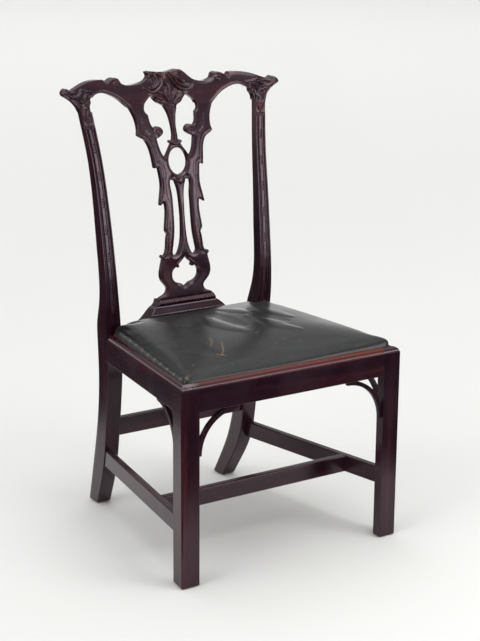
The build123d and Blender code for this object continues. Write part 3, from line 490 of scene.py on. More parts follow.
# carving on the crest rail: x across, then height above the foot of the rail
crestCarving = {
    "scrolls": [
        ([(-20.6, 68), (-13.5, 62.9), (-10.4, 53.5), (-14.2, 43.6), (-22.6, 35.6), (-34.3, 30.2),
          (-43.7, 30.4), (-52.3, 34.4), (-60, 38.2)], (2.8, 4.2, 1.6), 4.4),
        ([(-24.4, 64), (-22.6, 51.2), (-28, 42.4), (-35.7, 37.4), (-43.4, 37.6)], (1.4, 2.4, 1), 2.8),
        ([(-46.5, 69), (-42, 66), (-41.5, 61), (-46.5, 57.5)], (1.8, 2.6, 1.2), 2.8),
        ([(-34, 66), (-30, 59.1), (-30.3, 51.5)], (1.8, 2.8, 1), 2.6),
        ([(-39, 59), (-36.5, 52.8), (-36.5, 46)], (1.8, 2.8, 1), 2.4),
        ([(4.5, 66), (9.9, 58.6), (15.2, 49), (23.8, 38.7), (35.5, 32.6), (48.2, 31.2), (60, 35.2),
          (64.6, 39.9)], (2.4, 4.2, 1.6), 4.2),
        ([(15.8, 67), (20.7, 56.5), (27.4, 46.3), (37.1, 40.2), (48.1, 39),
          (56.4, 40.3)], (2, 3.2, 1.2), 3.4),
        ([(27.6, 69), (30.3, 62.1), (33.5, 53.2), (39.4, 47.7), (46.1, 47.2)], (1.8, 2.8, 1.2), 3),
        ([(10.6, 68), (20.6, 70), (31.7, 69.6), (37.4, 66.1), (38.7, 59.8)], (1.6, 2.6, 1.2), 2.6),
        ([(20.4, 63.6), (23.4, 66.4), (26.4, 63.8), (23.4, 61.4), (20.6, 63.2)], (1.2, 1.4, 1.2), 2.6),
    ],
    # fan of veined leaves over the stem, and the upright leaf between the scrolls
    "leaves": [
        ([(-7.5, 5), (-15.5, 12.1), (-24.2, 16.5), (-33.8, 20.4)], (1.4, 3.6, 2.8), 3.2),
        ([(-9, 2), (-18.2, 7.4), (-25.3, 9.4)], (1.2, 3, 2), 2.6),
        ([(-3.4, 8.3), (-8.3, 19.4), (-14.7, 25.4), (-22.9, 28.4)], (1.2, 3.6, 2.4), 3.2),
        ([(-1.6, 9.2), (-3.6, 19.1), (-4.8, 28.9), (-3.2, 38.4)], (1.2, 3.4, 1.8), 3.4),
        ([(2.2, 9), (4.1, 20.2), (5.1, 31.4), (6.1, 42.5)], (1.2, 3.4, 1.8), 3.4),
        ([(4.6, 8.2), (11.8, 18.6), (17.6, 24.5), (21.1, 31)], (1.2, 3.6, 2.4), 3.2),
        ([(7.4, 4.5), (16.4, 12.7), (25.6, 17.8), (34.3, 20.3)], (1.4, 3.6, 2.8), 3.2),
        ([(8.6, 1.3), (17.3, 7), (25.1, 9.8)], (1.2, 3, 2), 2.6),
        ([(-3, 42), (-4.6, 53), (-2.4, 62), (0, 67)], (1.8, 4.4, 2.4), 3.4),
    ],
    "vein": ((0.4, 1.0, 0.6), -1.1),
    "ground": [((-4, 46), (60, 27), 2), ((0, 14), (30, 16), 1.3)],
    # bare wood where the polish has gone: place, reach, strength
    "bare": [((-1, 60), (5.5, 4.2), 0.75), ((23, 65), (7.5, 3.5), 0.4)],
    # scroll on the shoulder and leaf on the ear, right side
    "side": [
        ([(113, 52.4), (119.1, 59.8), (129.9, 61.8), (140.8, 58.6), (147.5, 53.4)], (1.2, 2.6, 1.4), 2.2),
        ([(147.5, 53.4), (152.9, 54.5), (156.2, 59)], (1.2, 1.8, 1), 1.8),
        ([(121, 52.5), (127.2, 54.5), (133.2, 52), (131.5, 47.6), (126.5, 48.6)], (1, 1.6, 1.2), 1.8),
        ([(192, 40), (203, 41.5), (212, 43.8), (220.5, 46.3)], (1, 2.4, 1.2), 2.2),
        ([(196, 37), (206, 36.5), (213.5, 31), (217, 22)], (1, 2.6, 1.4), 2.4),
        ([(221.8, 45), (225.7, 38), (232.8, 33.4), (240.8, 35.6)], (1.2, 3, 1.4), 2.8),
        ([(228, 29.6), (240.2, 31.6), (251.4, 35.6), (260.6, 42.8)], (1.4, 3.2, 2), 2.8),
        ([(238, 43), (247, 41.5), (254, 46)], (1.4, 2.8, 1.6), 2.2),
        ([(211, -1), (213.5, 9), (219.8, 18), (229.6, 25), (240, 28)], (1.6, 2.6, 1.2), 2.4),
        ([(221, -1), (223, 9), (227, 16), (233, 21)], (1.6, 2.6, 1.2), 2.4),
        ([(230, -1), (231.6, 6), (235, 12)], (1.2, 2, 1), 2),
        ([(206, 5), (207.5, 14), (206, 22)], (1, 1.6, 0.8), 1.6),
    ],
    "sideGround": [((226, 24), (32, 30), 1.2)],
}


def crestStrokes():
    c = crestCarving
    veins = [(path, *c["vein"]) for path, widths, height in c["leaves"]]
    lift = chair["crestFoot"]
    ridges = [([(x, z + lift) for x, z in path], widths, height)
              for path, widths, height in c["scrolls"] + c["leaves"] + veins + c["side"] + flipped(c["side"])]
    ground = [((x, z + lift), radius, depth) for (x, z), radius, depth in c["ground"]]
    for (x, z), radius, depth in c["sideGround"]:
        ground += [((x, z + lift), radius, depth), ((-x, z + lift), radius, depth)]
    return ridges, ground


# carving on the splat: x across, then height above the shoe
splatCarving = {
    "side": [
        ([(95, 356.4), (83.5, 349), (73.7, 333.4), (66, 315), (60.2, 292.1)], (1.2, 2.6, 1.2), 1.6),
        ([(88, 351), (78, 338), (69, 318), (62.5, 300)], (0.6, 0.9, 0.6), -1),
        ([(52, 286), (49, 262), (48, 244), (51, 226), (55, 206)], (1.2, 2.4, 1), 1.5),
        ([(44, 262), (43.5, 240), (46, 222)], (0.6, 0.9, 0.5), -1),
        ([(43, 208), (41, 190), (44, 168), (46, 150)], (1, 1.8, 0.8), 1.2),
        ([(41, 139), (44.5, 118), (49, 101), (54, 93)], (1, 1.8, 1.2), 1.4),
        # volute, its eye and the stalk
        ([(52, 356), (46, 364), (37, 364.5), (31.5, 357.5), (36, 350.5), (42, 353), (41, 359),
          (37.0, 358.5)], (1.6, 1.8, 1.2), 1.9),
        # foot lobes and the heart's edge
        ([(57.5, 88), (60.5, 74), (60, 52), (53, 36)], (0.8, 1.2, 0.8), -0.9),
        ([(29, 66), (36, 54), (33, 38), (22, 29)], (1, 1.6, 1), 1.2),
        ([(24, 68), (18, 76), (8, 84)], (0.8, 1.4, 0.8), 1),
    ],
    "middle": [
        # collar over the oval, and the reeds of the stem above it
        ([(-14, 335), (-6, 331), (0, 330), (6, 331), (14, 335)], (1.6, 2.2, 1.6), 2.4),
        ([(-7, 339.5), (0, 337), (7, 339.5)], (0.8, 1, 0.8), -1.2),
        ([(0, 404), (0, 380), (0, 344)], (2.6, 1.4, 0.8), 1.2),
        ([(-9, 405), (-5, 385), (-2, 350)], (1.6, 0.9, 0.5), 0.9),
        ([(9, 405), (5, 385), (2, 350)], (1.6, 0.9, 0.5), 0.9),
        ([(0, 244), (0, 200), (0, 120)], (0.8, 0.6, 0.5), -0.8),
    ],
    "oval": {"centre": (0.0, 294.0), "half": (27.5, 32.5), "width": 1.8, "height": 1.8},
    "rosette": {"centre": (0.0, 255.0), "radius": 6.6, "petals": 6, "petalWidth": 2.6, "height": 2.8},
}


def ovalRing(centre, half, width, height):
    turn = np.linspace(0, 2 * math.pi, 33)
    path = [(centre[0] + half[0] * math.sin(a), centre[1] + half[1] * math.cos(a)) for a in turn]
    return path, (width, width, width), height


def splatStrokes():
    s = splatCarving
    ridges = s["side"] + flipped(s["side"]) + s["middle"] + [ovalRing(**s["oval"])]
    r = s["rosette"]
    for k in range(r["petals"]):
        a = 2 * math.pi * k / r["petals"]
        tip = (r["centre"][0] + r["radius"] * math.sin(a), r["centre"][1] + r["radius"] * math.cos(a))
        ridges.append(([r["centre"], tip], (1.0, r["petalWidth"], r["petalWidth"]), r["height"]))
    return [([(x, z + chair["shoeTop"]) for x, z in path], widths, height) for path, widths, height in ridges]


# crest rail and splat are worked in one clay, so that the carving runs on across their joint
backClay = {
    "voxelMm": 1.2, "soften": (2, 0.5), "settle": (2, 0.4), "edgeRound": 1.8, "stubFrom": 862.0,
    "splatHalf": 150.0, "splatThick": 12.0, "crestThick": 18.0, "smoothAngle": 70.0,
    # the hollow front is raked on one arc and dished across on another
    "front": 417.0, "rakeRadius": 1237.0, "rakeFrom": 500.0, "bowRadius": 950.0,
    # what counts as an outer wall: turned aside, between these depths, away from the cut joints
    "wallTurn": 0.3, "wallDeep": (3.5, 8.5), "jointNear": 1.6, "jointTurn": 0.7, "jointClear": 9.0,
    "wallSlip": 1.2,
    # round knobs on the edges of the splat: across, height above the shoe, radius
    "knobs": [(12.5, 335, 3.4), (19, 257.5, 3.2), (57, 93.5, 4.2), (18.5, 68.5, 3.6)],
    # the stem is cut a little fuller on its right: across, height above the shoe, as far as the radius
    "stemRight": [(2.6, 344), (2.3, 350), (2, 356), (1.8, 362), (1.8, 368), (2.4, 374), (3.4, 380),
                  (4.6, 386), (5.8, 392), (7.6, 398), (10, 404)],
    "stemRound": 4.6, "discSides": 24,
}

# relief of the faces, by the distance inside the outline: bead, its quirk, dished strap, rounded pillow
backRelief = {
    "facing": (0.25, 0.7), "sunkRim": (0.7, 1.0), "plain": 0.05, "bareFacing": (0.2, 0.6),
    "beadAt": 2.6, "beadWide": 1.1, "beadHigh": 0.9, "quirkAt": 5.0, "quirkWide": 0.8, "quirkDeep": 0.9,
    "dishDeep": 0.8, "dishRun": (5.0, 11.5), "dishFade": (845.0, 875.0), "pillowDeep": 0.9, "pillowRun": 8.0,
    # where the bead runs: how far an edge looks aside or down, then places across and up the splat and crest
    "beadTurn": (0.1, 0.6), "splatBead": 0.8, "splatAcross": (28, 36), "splatUp": (88, 96),
    "crestFrom": (92, 98), "crestTo": (196, 202), "beadJoin": (-6, 6),
    # lighter worn colour and painted highlight on carving ridges, the bead's crown and the rim of the outline
    "carvedWearAndHighlight": 0.7, "carvedFrom": (0.8, 2.4), "beadWearAndHighlight": 0.4, "edgeWearAndHighlight": 0.55, "edgeAt": 1.0,
}


def hollowFront(x, z):
    c = backClay
    radius, bow = c["rakeRadius"], c["bowRadius"]
    rake = radius - np.sqrt(radius ** 2 - np.maximum(z - c["rakeFrom"], 0) ** 2)
    return c["front"] - bow + np.sqrt((rake + bow) ** 2 - x ** 2) - chair["depthShift"]


def frontDepth(points):
    # distance behind the hollow front, square to it
    x, y, z = points.T
    lean = (hollowFront(x, z + 1) - hollowFront(x, z - 1)) / 2
    turn = (hollowFront(x + 1, z) - hollowFront(x - 1, z)) / 2
    return (y - hollowFront(x, z)) / np.sqrt(1 + lean ** 2 + turn ** 2)


def edgeField(points, normals, depth):
    # how far each point lies inside the outline seen from the front, and the way to the nearest edge
    c = backClay
    walls = (np.abs(normals[:, 1]) < c["wallTurn"]) & (depth > c["wallDeep"][0]) & (depth < c["wallDeep"][1])
    for z in (chair["shoeTop"], c["stubFrom"]):
        walls &= (np.abs(points[:, 2] - z) > c["jointNear"]) | (np.abs(normals[:, 2]) < c["jointTurn"])
    picked = np.nonzero(walls)[0]
    tree = kdtree.KDTree(len(picked))
    for i in picked:
        tree.insert((points[i, 0], 0.0, points[i, 2]), int(i))
    tree.balance()
    nearest = np.array([tree.find((x, 0.0, z))[1] for x, z in points[:, [0, 2]]])
    outward = normals[nearest][:, [0, 2]]
    outward /= np.linalg.norm(outward, axis=1)[:, None]
    inset = -np.sum((points - points[nearest])[:, [0, 2]] * outward, axis=1)
    return inset, outward


def roundEdges(piece):
    # every edge of the outline gets one even round, front and back
    c = backClay
    radius = c["edgeRound"]
    points, normals = meshPoints(piece)
    depth = frontDepth(points)
    inset, outward = edgeField(points, normals, depth)
    clear = np.abs(points[:, 2] - chair["crestFoot"]) > c["jointClear"]
    behind = np.where(points[:, 2] > chair["crestFoot"], c["crestThick"], c["splatThick"]) - depth
    for t, way in ((depth, 1), (behind, -1)):
        corner = (inset < radius) & (t < radius) & (clear | (way > 0))
        v = np.column_stack([inset - radius, t - radius])[corner]
        v *= (radius / np.maximum(np.linalg.norm(v, axis=1), 0.05))[:, None]
        slide = v[:, 0] + radius - inset[corner]
        points[corner, 0] -= slide * outward[corner, 0]
        points[corner, 2] -= slide * outward[corner, 1]
        points[corner, 1] += (v[:, 1] + radius - t[corner]) * way
    wall = (depth > radius) & (behind > radius) & (np.abs(inset) < c["wallSlip"]) & clear
    points[wall, 0] += inset[wall] * outward[wall, 0]
    points[wall, 2] += inset[wall] * outward[wall, 1]
    setPoints(piece, points)


def backBead(flat, outward):
    # the bead runs down the arches of the crest and on along the outer edges of the splat
    r = backRelief
    x, rise = np.abs(flat[:, 0]), flat[:, 1] - chair["shoeTop"]
    aside = ease(*r["beadTurn"], np.sign(flat[:, 0]) * outward[:, 0])
    below = ease(*r["beadTurn"], -outward[:, 1])
    onSplat = r["splatBead"] * aside * ease(*r["splatAcross"], x) * ease(*r["splatUp"], rise)
    onCrest = below * ease(*r["crestFrom"], x) * (1 - ease(*r["crestTo"], x))
    return onSplat + (onCrest - onSplat) * ease(*r["beadJoin"], flat[:, 1] - chair["crestFoot"])


def carveFront(piece, ridges, ground):
    # the front face is worked as a relief seen from the front
    r = backRelief
    points, normals = meshPoints(piece)
    flat = points[:, [0, 2]]
    front = ease(*r["facing"], -normals[:, 1])
    inset, outward = edgeField(points, normals, frontDepth(points))
    gap = np.maximum(inset, 0)
    raised, cut = carve(flat, ridges)
    sunk = np.zeros(len(points))
    for centre, radius, depth in ground:
        off = np.hypot((flat[:, 0] - centre[0]) / radius[0], (flat[:, 1] - centre[1]) / radius[1])
        sunk = np.minimum(sunk, -depth * (1 - ease(*r["sunkRim"], off)))
    mask = backBead(flat, outward)
    crown = bell(gap, r["beadAt"], r["beadWide"])
    bead = mask * (r["beadHigh"] * crown - r["quirkDeep"] * bell(gap, r["quirkAt"], r["quirkWide"]))
    dish = -r["dishDeep"] * mask * ease(*r["dishRun"], gap) * (1 - ease(*r["dishFade"], flat[:, 1]))
    pillow = -r["pillowDeep"] * (1 - ease(0.0, r["pillowRun"], gap)) * (1 - mask)
    relief = raised + cut + np.where(raised > r["plain"], 0, sunk) + bead + dish + pillow
    points[:, 1] -= relief * front
    setPoints(piece, points)
    # worn colour and painted highlight on raised carving, the bead's crown and the outline's rim
    carved = r["carvedWearAndHighlight"] * ease(*r["carvedFrom"], raised)
    edge = r["edgeWearAndHighlight"] * bell(gap, r["edgeAt"], r["edgeAt"])
    setAttribute(piece, "wearAndHighlight", front * (carved + r["beadWearAndHighlight"] * mask * crown + edge))


def trim(piece, place, keepToward):
    # cut off what lies behind a plane and close the cut
    onWholeMesh(piece, bpy.ops.mesh.bisect, plane_co=[c / 1000 for c in place], plane_no=keepToward,
                use_fill=True, clear_inner=True)


def makeBack():
    c = backClay
    lumps = []
    for node in ("crest_rail", "splat", "rear_post_left", "rear_post_right"):
        lump = linked("backClay", nodes[node].data.copy())
        if node.startswith("rear_post"):
            trim(lump, (0, 0, c["stubFrom"]), (0, 0, 1))
        lumps.append(lump)
    discs = c["knobs"] + [(-x, rise, radius) for x, rise, radius in c["knobs"]]
    for x, rise, radius in discs + [(x, rise, c["stemRound"]) for x, rise in c["stemRight"]]:
        z = chair["shoeTop"] + rise
        deep = float(hollowFront(x, z)) + c["splatThick"] / 2
        bpy.ops.mesh.primitive_cylinder_add(
            vertices=c["discSides"], radius=radius / 1000, depth=c["splatThick"] / 1000,
            location=(x / 1000, deep / 1000, z / 1000), rotation=(math.pi / 2, 0, 0))
        lumps.append(bpy.context.object)
    clay = joined(lumps)
    addRemesh(clay, c["voxelMm"])
    addSmooth(clay, *c["soften"])
    applyAll(clay)
    roundEdges(clay)
    ridges, ground = crestStrokes()
    carveFront(clay, ridges + splatStrokes(), ground)
    points, normals = meshPoints(clay)
    bare = np.zeros(len(points))
    for (x, rise), reach, much in crestCarving["bare"]:
        up = points[:, 2] - rise - chair["crestFoot"]
        off = np.hypot((points[:, 0] - x) / reach[0], up / reach[1])
        bare = np.maximum(bare, much * bell(off, 0, 1))
    setAttribute(clay, "bare", bare * ease(*backRelief["bareFacing"], -normals[:, 1]))
    addSmooth(clay, *c["settle"])
    applyAll(clay)
    pieces = (("carvedCrest", "crest_rail", crossWood, 1), ("carvedSplat", "splat", uprightWood, -1))
    for name, node, finish, up in pieces:
        piece = newPiece(name, clay.data.copy(), finish, "frame")
        trim(piece, (0, 0, chair["crestFoot"]), (0, 0, up))
        if node == "splat":
            trim(piece, (c["splatHalf"], 0, 0), (-1, 0, 0))
            trim(piece, (-c["splatHalf"], 0, 0), (1, 0, 0))
        pickOnly(piece)
        bpy.ops.object.shade_smooth_by_angle(angle=math.radians(c["smoothAngle"]))
        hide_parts(node)
        print(name, "carved:", len(piece.data.polygons), "faces")
    bpy.data.objects.remove(clay)


# band of upright leaves along the top of the shoe, each widest at its middle, with a cut vein
shoeCarving = {
    "voxelMm": 1.0, "soften": (3, 0.5), "weldMm": 0.02, "facing": (0.15, 0.6), "wearAndHighlight": 0.8,
    "bandLow": 463.2, "bandHigh": 473.0, "lowRun": 1.2, "highRun": 0.8, "halfRun": 76.0, "endRun": 4.0,
    "pitch": 7.2, "height": 1.7, "narrow": 0.25, "veinWide": 0.13, "veinDeep": 0.7, "sunk": 0.6,
}


def makeShoe():
    s = shoeCarving
    piece = newPiece("carvedShoe", nodes["splat_shoe"].data.copy(), crossWood, "frame")
    onWholeMesh(piece, bpy.ops.mesh.remove_doubles, threshold=s["weldMm"] / 1000)
    addRemesh(piece, s["voxelMm"])
    addSmooth(piece, *s["soften"])
    applyAll(piece)
    bpy.ops.object.shade_smooth()
    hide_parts("splat_shoe")
    points, normals = meshPoints(piece)
    front = ease(*s["facing"], -normals[:, 1])
    x, z = points[:, 0], points[:, 2]
    low, high = s["bandLow"], s["bandHigh"]
    inBand = ease(low, low + s["lowRun"], z) * (1 - ease(high - s["highRun"], high + s["highRun"], z))
    share = np.clip((z - low) / (high - low), 0, 1)
    place = np.abs(((x / s["pitch"] + 0.5) % 1) - 0.5) * 2
    leaf = dome(place / (s["narrow"] + (1 - s["narrow"]) * np.sin(np.pi * share)))
    vein = bell(place, 0, s["veinWide"])
    height = inBand * (s["height"] * leaf - s["veinDeep"] * vein - s["sunk"])
    points[:, 1] -= height * (1 - ease(s["halfRun"] - s["endRun"], s["halfRun"], np.abs(x))) * front
    setPoints(piece, points)
    # lighter worn colour and painted highlight on the crown of each leaf
    setAttribute(piece, "wearAndHighlight", front * inBand * leaf * s["wearAndHighlight"])
    print("shoe carved:", len(piece.data.vertices), "points")


# rear posts: square legs below, moulded fronts above the seat, a leaf under the ear
postMoulding = {
    "channelHalf": 2.6, "channelDeep": 1.7, "ribWide": 2.8, "ribRound": 1.2, "quirkWide": 0.5,
    "quirkDeep": 1.6, "beadWide": 4.2, "beadBack": 0.2, "cornerRound": 1.9,
    "hollowBack": 0.2, "hollowDeep": 1.6,
    # the moulding starts and ends over these runs, and the plain leg has soft edges
    "low": 445.0, "run": 12.0, "high": 852.0, "highFrom": 4.0, "highTo": 6.0,
    "softEdge": 1.3, "softWide": 2.5,
    # heights of the rings: foot, plain leg, moulded front, leaf, top under the ear
    "foot": [0.15, 1.8, 3.4], "rings": [(8, 420, 8), (420, 840, 3), (840, 884.9, 0.8)], "topMm": 886.4,
    "sectionGap": 0.1, "sideSteps": 5, "backRound": 1.5, "backCut": 0.45, "smoothAngle": 38.0,
    # worn colour and painted highlight along the crown of each rib and on the raised leaf
    "ribWearAndHighlight": 0.6, "ribHighlightWide": 0.9, "leafWearAndHighlight": 0.6, "leafHighlitRun": (0.8, 2.2),
    # points across the channel, rib, quirk, hollow, quirk and corner bead, just inside each one's lines
    "steps": (3, 7, 2, 14, 2, 7), "insideLine": 0.02,
    # leaf hanging from the ear: across from the post's middle, outwards positive, then height above its tip
    "leafFoot": 858.0, "leafRun": (-6.0, 2.0), "leafFrom": -8.0,
    "leaf": [
        ([(-6.75, 29), (-6, 20), (-3, 10), (-0.5, 3)], (2.3, 2.6, 1), 2.3),
        ([(3.25, 29), (3, 20), (1.5, 10), (0.3, 3)], (2.4, 2.6, 1), 2.4),
        ([(11.8, 29), (9.5, 20), (5.5, 11), (1.5, 4)], (2, 2.4, 1), 2.2),
        ([(-10.5, 24), (-8.5, 14), (-5, 6)], (1.2, 1.8, 0.7), 1.5),
        ([(-1.8, 21.5), (-1, 23), (0.6, 23)], (2, 2.4, 2), 2.8),
        ([(0, 4), (-0.6, -1), (-1.6, -6)], (1.6, 1.3, 0.4), 1.5),
    ],
}


def sectionAt(edges, z):
    # extent of the CAD post at one height
    a, b = edges
    crossing = (a[:, 2] - z) * (b[:, 2] - z) <= 0
    p, q = a[crossing], b[crossing]
    rise = q[:, 2] - p[:, 2]
    t = np.where(np.abs(rise) > 1e-9, (z - p[:, 2]) / np.where(np.abs(rise) > 1e-9, rise, 1), 0)
    spots = p + (q - p) * t[:, None]
    return spots[:, 0].min(), spots[:, 0].max(), spots[:, 1].min(), spots[:, 1].max()


def cadEdges(node):
    mesh = nodes[node].data
    points = np.empty(len(mesh.vertices) * 3)
    mesh.vertices.foreach_get("co", points)
    points = points.reshape(-1, 3) * 1000
    pairs = np.empty(len(mesh.edges) * 2, dtype=np.int64)
    mesh.edges.foreach_get("vertices", pairs)
    pairs = pairs.reshape(-1, 2)
    return points[pairs[:, 0]], points[pairs[:, 1]]


def mouldingLines(half):
    # places of the mouldings' own lines, from the middle of the front to its corner
    p = postMoulding
    ribEnd = p["channelHalf"] + p["ribWide"]
    beadStart = half - p["beadWide"]
    return [p["channelHalf"], ribEnd, ribEnd + p["quirkWide"], beadStart - p["quirkWide"], beadStart]


def frontColumns(half):
    # places across the front that keep to those lines
    p = postMoulding
    lines = [0.0, *mouldingLines(half), half]
    runs = zip(lines, lines[1:], p["steps"])
    gap = p["insideLine"]
    right = np.concatenate([np.linspace(a + gap, b - gap, n) for a, b, n in runs])
    right[-1] = half
    return np.concatenate([-right[::-1], right])


def frontProfile(x, half):
    # depth of the moulded front behind its highest line: channel, round rib, broad hollow, corner bead
    p = postMoulding
    away = np.abs(x)
    channelEnd, ribEnd, hollowStart, hollowEnd, beadStart = mouldingLines(half)

    def across(start, wide):
        return np.clip((away - start) / wide, 0, 1) * 2 - 1

    depth = p["hollowBack"] + p["hollowDeep"] * dome(across(hollowStart, max(hollowEnd - hollowStart, 1)))
    depth = np.where(away > hollowEnd, p["beadBack"] + p["quirkDeep"], depth)
    bead = p["cornerRound"] * (1 - dome(across(beadStart, p["beadWide"]), 4))
    depth = np.where(away > beadStart, p["beadBack"] + bead, depth)
    depth = np.where(away < hollowStart, p["quirkDeep"], depth)
    rib = p["ribRound"] * (1 - dome(across(channelEnd, p["ribWide"]), 4))
    depth = np.where(away < ribEnd, rib, depth)
    return np.where(away < channelEnd, p["channelDeep"], depth)


def makePost(side, sign):
    p = postMoulding
    name = f"mouldedPost{side.capitalize()}"
    edges = cadEdges(f"rear_post_{side}")
    levels = p["foot"] + [z for run in p["rings"] for z in np.arange(*run)] + [p["topMm"]]
    deep = np.linspace(0, 1, p["sideSteps"] + 2)[1:-1]
    r, c = p["backRound"], p["backCut"]
    rings, wearAndHighlight = [], []
    for z in levels:
        x0, x1, y0, y1 = sectionAt(edges, min(z, chair["crestFoot"] - p["sectionGap"]))
        middle, half = (x0 + x1) / 2, (x1 - x0) / 2
        x = frontColumns(half)
        blend = ease(p["low"] - p["run"], p["low"] + p["run"], z)
        blend *= 1 - ease(p["high"] - p["highFrom"], p["high"] + p["highTo"], z)
        soft = p["softEdge"] * (1 - dome(ease(half - p["softWide"], half, np.abs(x))))
        rise = z - p["leafFoot"]
        flat = np.column_stack([x * sign, np.full(len(x), rise)])
        raised = carve(flat, p["leaf"])[0] if rise > p["leafFrom"] else np.zeros(len(x))
        depth = (1 - blend) * soft + blend * frontProfile(x, half) + ease(*p["leafRun"], rise) - raised
        front = np.column_stack([middle + x, y0 + depth, np.full(len(x), z)])
        yLeft, yRight = front[0, 1], front[-1, 1]
        right = [(x1, yRight + (y1 - r - yRight) * t, z) for t in deep]
        back = [(x1, y1 - r, z), (x1 - c, y1 - c, z), (x1 - r, y1, z), (middle, y1, z),
                (x0 + r, y1, z), (x0 + c, y1 - c, z), (x0, y1 - r, z)]
        left = [(x0, y1 - r + (yLeft - y1 + r) * t, z) for t in deep]
        rings.append(np.vstack([front, right, back, left]))
        # worn colour and painted highlight on the rib crowns and the raised leaf
        crown = bell(np.abs(x), p["channelHalf"] + p["ribWide"] / 2, p["ribHighlightWide"]) * blend
        worn = p["ribWearAndHighlight"] * crown + p["leafWearAndHighlight"] * ease(*p["leafHighlitRun"], raised)
        wearAndHighlight.append(np.concatenate([worn, np.zeros(len(rings[-1]) - len(x))]))
    count = len(rings[0])
    top = (len(levels) - 1) * count
    faces = []
    for row in range(0, top, count):
        for k in range(count):
            a, b = row + k, row + (k + 1) % count
            faces.append((a, b, b + count, a + count))
    faces += [tuple(reversed(range(count))), tuple(range(top, top + count))]
    mesh = bpy.data.meshes.new(name)
    mesh.from_pydata((np.vstack(rings) / 1000).tolist(), [], faces)
    mesh.update()
    piece = newPiece(name, mesh, uprightWood, "frame")
    onWholeMesh(piece, bpy.ops.mesh.normals_make_consistent, inside=False)
    bpy.ops.object.shade_smooth_by_angle(angle=math.radians(p["smoothAngle"]))
    setAttribute(piece, "wearAndHighlight", np.concatenate(wearAndHighlight))
    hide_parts(f"rear_post_{side}")
    return edges


# groups of four pearls in the channel of each post, given the lighter worn colour in full as a painted
# highlight, in patches
pearlString = {
    "first": 466.0, "pitch": 56.5, "groups": 7, "pearls": 4, "spacing": 5.2, "radius": 1.9, "proud": 0.2,
    "segments": 10, "rings": 6, "wearAndHighlight": 1.0,
}


def makePearls(side, edges):
    p = pearlString
    pearls = []
    for group in range(p["groups"]):
        for k in range(p["pearls"]):
            z = p["first"] + group * p["pitch"] + k * p["spacing"]
            x0, x1, y0, y1 = sectionAt(edges, z)
            y = y0 + postMoulding["channelDeep"] - p["proud"]
            bpy.ops.mesh.primitive_uv_sphere_add(
                segments=p["segments"], ring_count=p["rings"], radius=p["radius"] / 1000,
                location=((x0 + x1) / 2000, y / 1000, z / 1000))
            pearls.append(bpy.context.object)
    piece = joined(pearls)
    bpy.ops.object.transform_apply(location=True, rotation=True, scale=True)
    bpy.ops.object.shade_smooth()
    piece.name = f"postPearls{side.capitalize()}"
    dress(piece, uprightWood, "frame")
    # painted highlight: every pearl takes the lighter worn colour in full
    setAttribute(piece, "wearAndHighlight", np.full(len(piece.data.vertices), p["wearAndHighlight"]))


# drop-in seat: stuffed form under one hide, turned under its frame
seatPad = {
    "frontY": 13.7, "backY": 402.9, "frontHalf": 252.3, "notchY": 390.3, "notchHalf": 196.8,
    "tongueHalf": 169.9, "cornerRound": 9.0, "cornerSteps": 4, "bottom": 403.4, "edgeTop": 428.5,
    "voxelMm": 5.0, "hide": 1.4, "turnUnder": 31.0, "underHigh": 6.0,
    # swell of the stuffing: rise to the back and the right, crown over a run from each edge, its foot
    "backRise": 13.5, "rightRise": 5.5, "crown": 15.5, "crownRun": 150.0, "footFrom": 6.0, "footTo": 1.0,
    # the hide is blown out a little as cloth, held below the rails, moving no more than these
    "cloth": {
        "quality": 6, "mass": 0.4, "tension_stiffness": 25, "compression_stiffness": 25,
        "bending_stiffness": 1.5, "use_pressure": True, "uniform_pressure_force": 4.0,
        "vertex_group_mass": "held",
    },
    "heldTo": 1.0, "caps": (0.6, 0.6, 3.0), "frames": 20, "relax": (3, 0.5), "facing": (0.3, 0.8),
    # the rim rolls down at the front and left, less so past these places
    "rimDrop": 5.0, "rimRun": 7.0, "rimSlack": 2.0,
    "rollAcross": (120.0, 200.0), "rollFront": (40.0, 80.0), "rollBack": (330.0, 370.0),
    "crackWide": (0.9, 1.4, 0.8), "crackMuch": 0.6, "fleckWide": 1.8, "fleckMuch": 0.6,
    # width and strength of the pale line along the rim, partly scuffing and partly painted highlight
    "edgeWide": 2.2, "edgeWearAndHighlight": 0.12,
    # slack folds of the hide near the back, then shallow dips, as plan lines
    "folds": [
        ([(-22, 340), (-30, 262), (-24.5, 212.9), (4, 158)], (12, 28, 12), 2),
        ([(36, 355), (59.7, 312.8), (76, 266)], (10, 24, 10), 1.7),
        ([(56, 260), (68.5, 203.7), (76, 165), (96, 128)], (10, 28, 12), 2),
        ([(112, 330), (122, 270), (138, 215)], (10, 28, 12), 1.2),
        ([(-120, 330), (-112, 290), (-96, 250)], (10, 24, 12), 1.1),
        ([(4, 335), (2, 262), (14, 205)], (12, 28, 12), -1.2),
        ([(92, 300), (98, 232), (106, 190)], (12, 28, 12), -1.1),
        ([(20, 66), (80, 66), (150, 52)], (16, 34, 16), -1.1),
        ([(-190, 200), (-160, 150), (-140, 90)], (16, 32, 16), -0.9),
    ],
    "cracks": [
        [(-94, 172), (-104, 152), (-110, 140), (-123.8, 123.6)],
        [(-89.9, 133.7), (-99, 118), (-113.6, 91.5), (-128, 76)],
        [(-128, 74), (-134, 80), (-131.2, 88)],
        [(-121, 84), (-126, 76), (-122, 68)],
    ],
    "flecks": [(-114.2, 273.7), (-173.4, 173), (-228, 42), (-205, 60), (-60, 120), (-20, 92),
               (8, 84), (40, 96), (62, 76), (-84, 232), (-146, 236)],
    "wornCorners": [(-243, 22, 2.4, 0.6), (243, 22, 2.4, 0.3)],
}


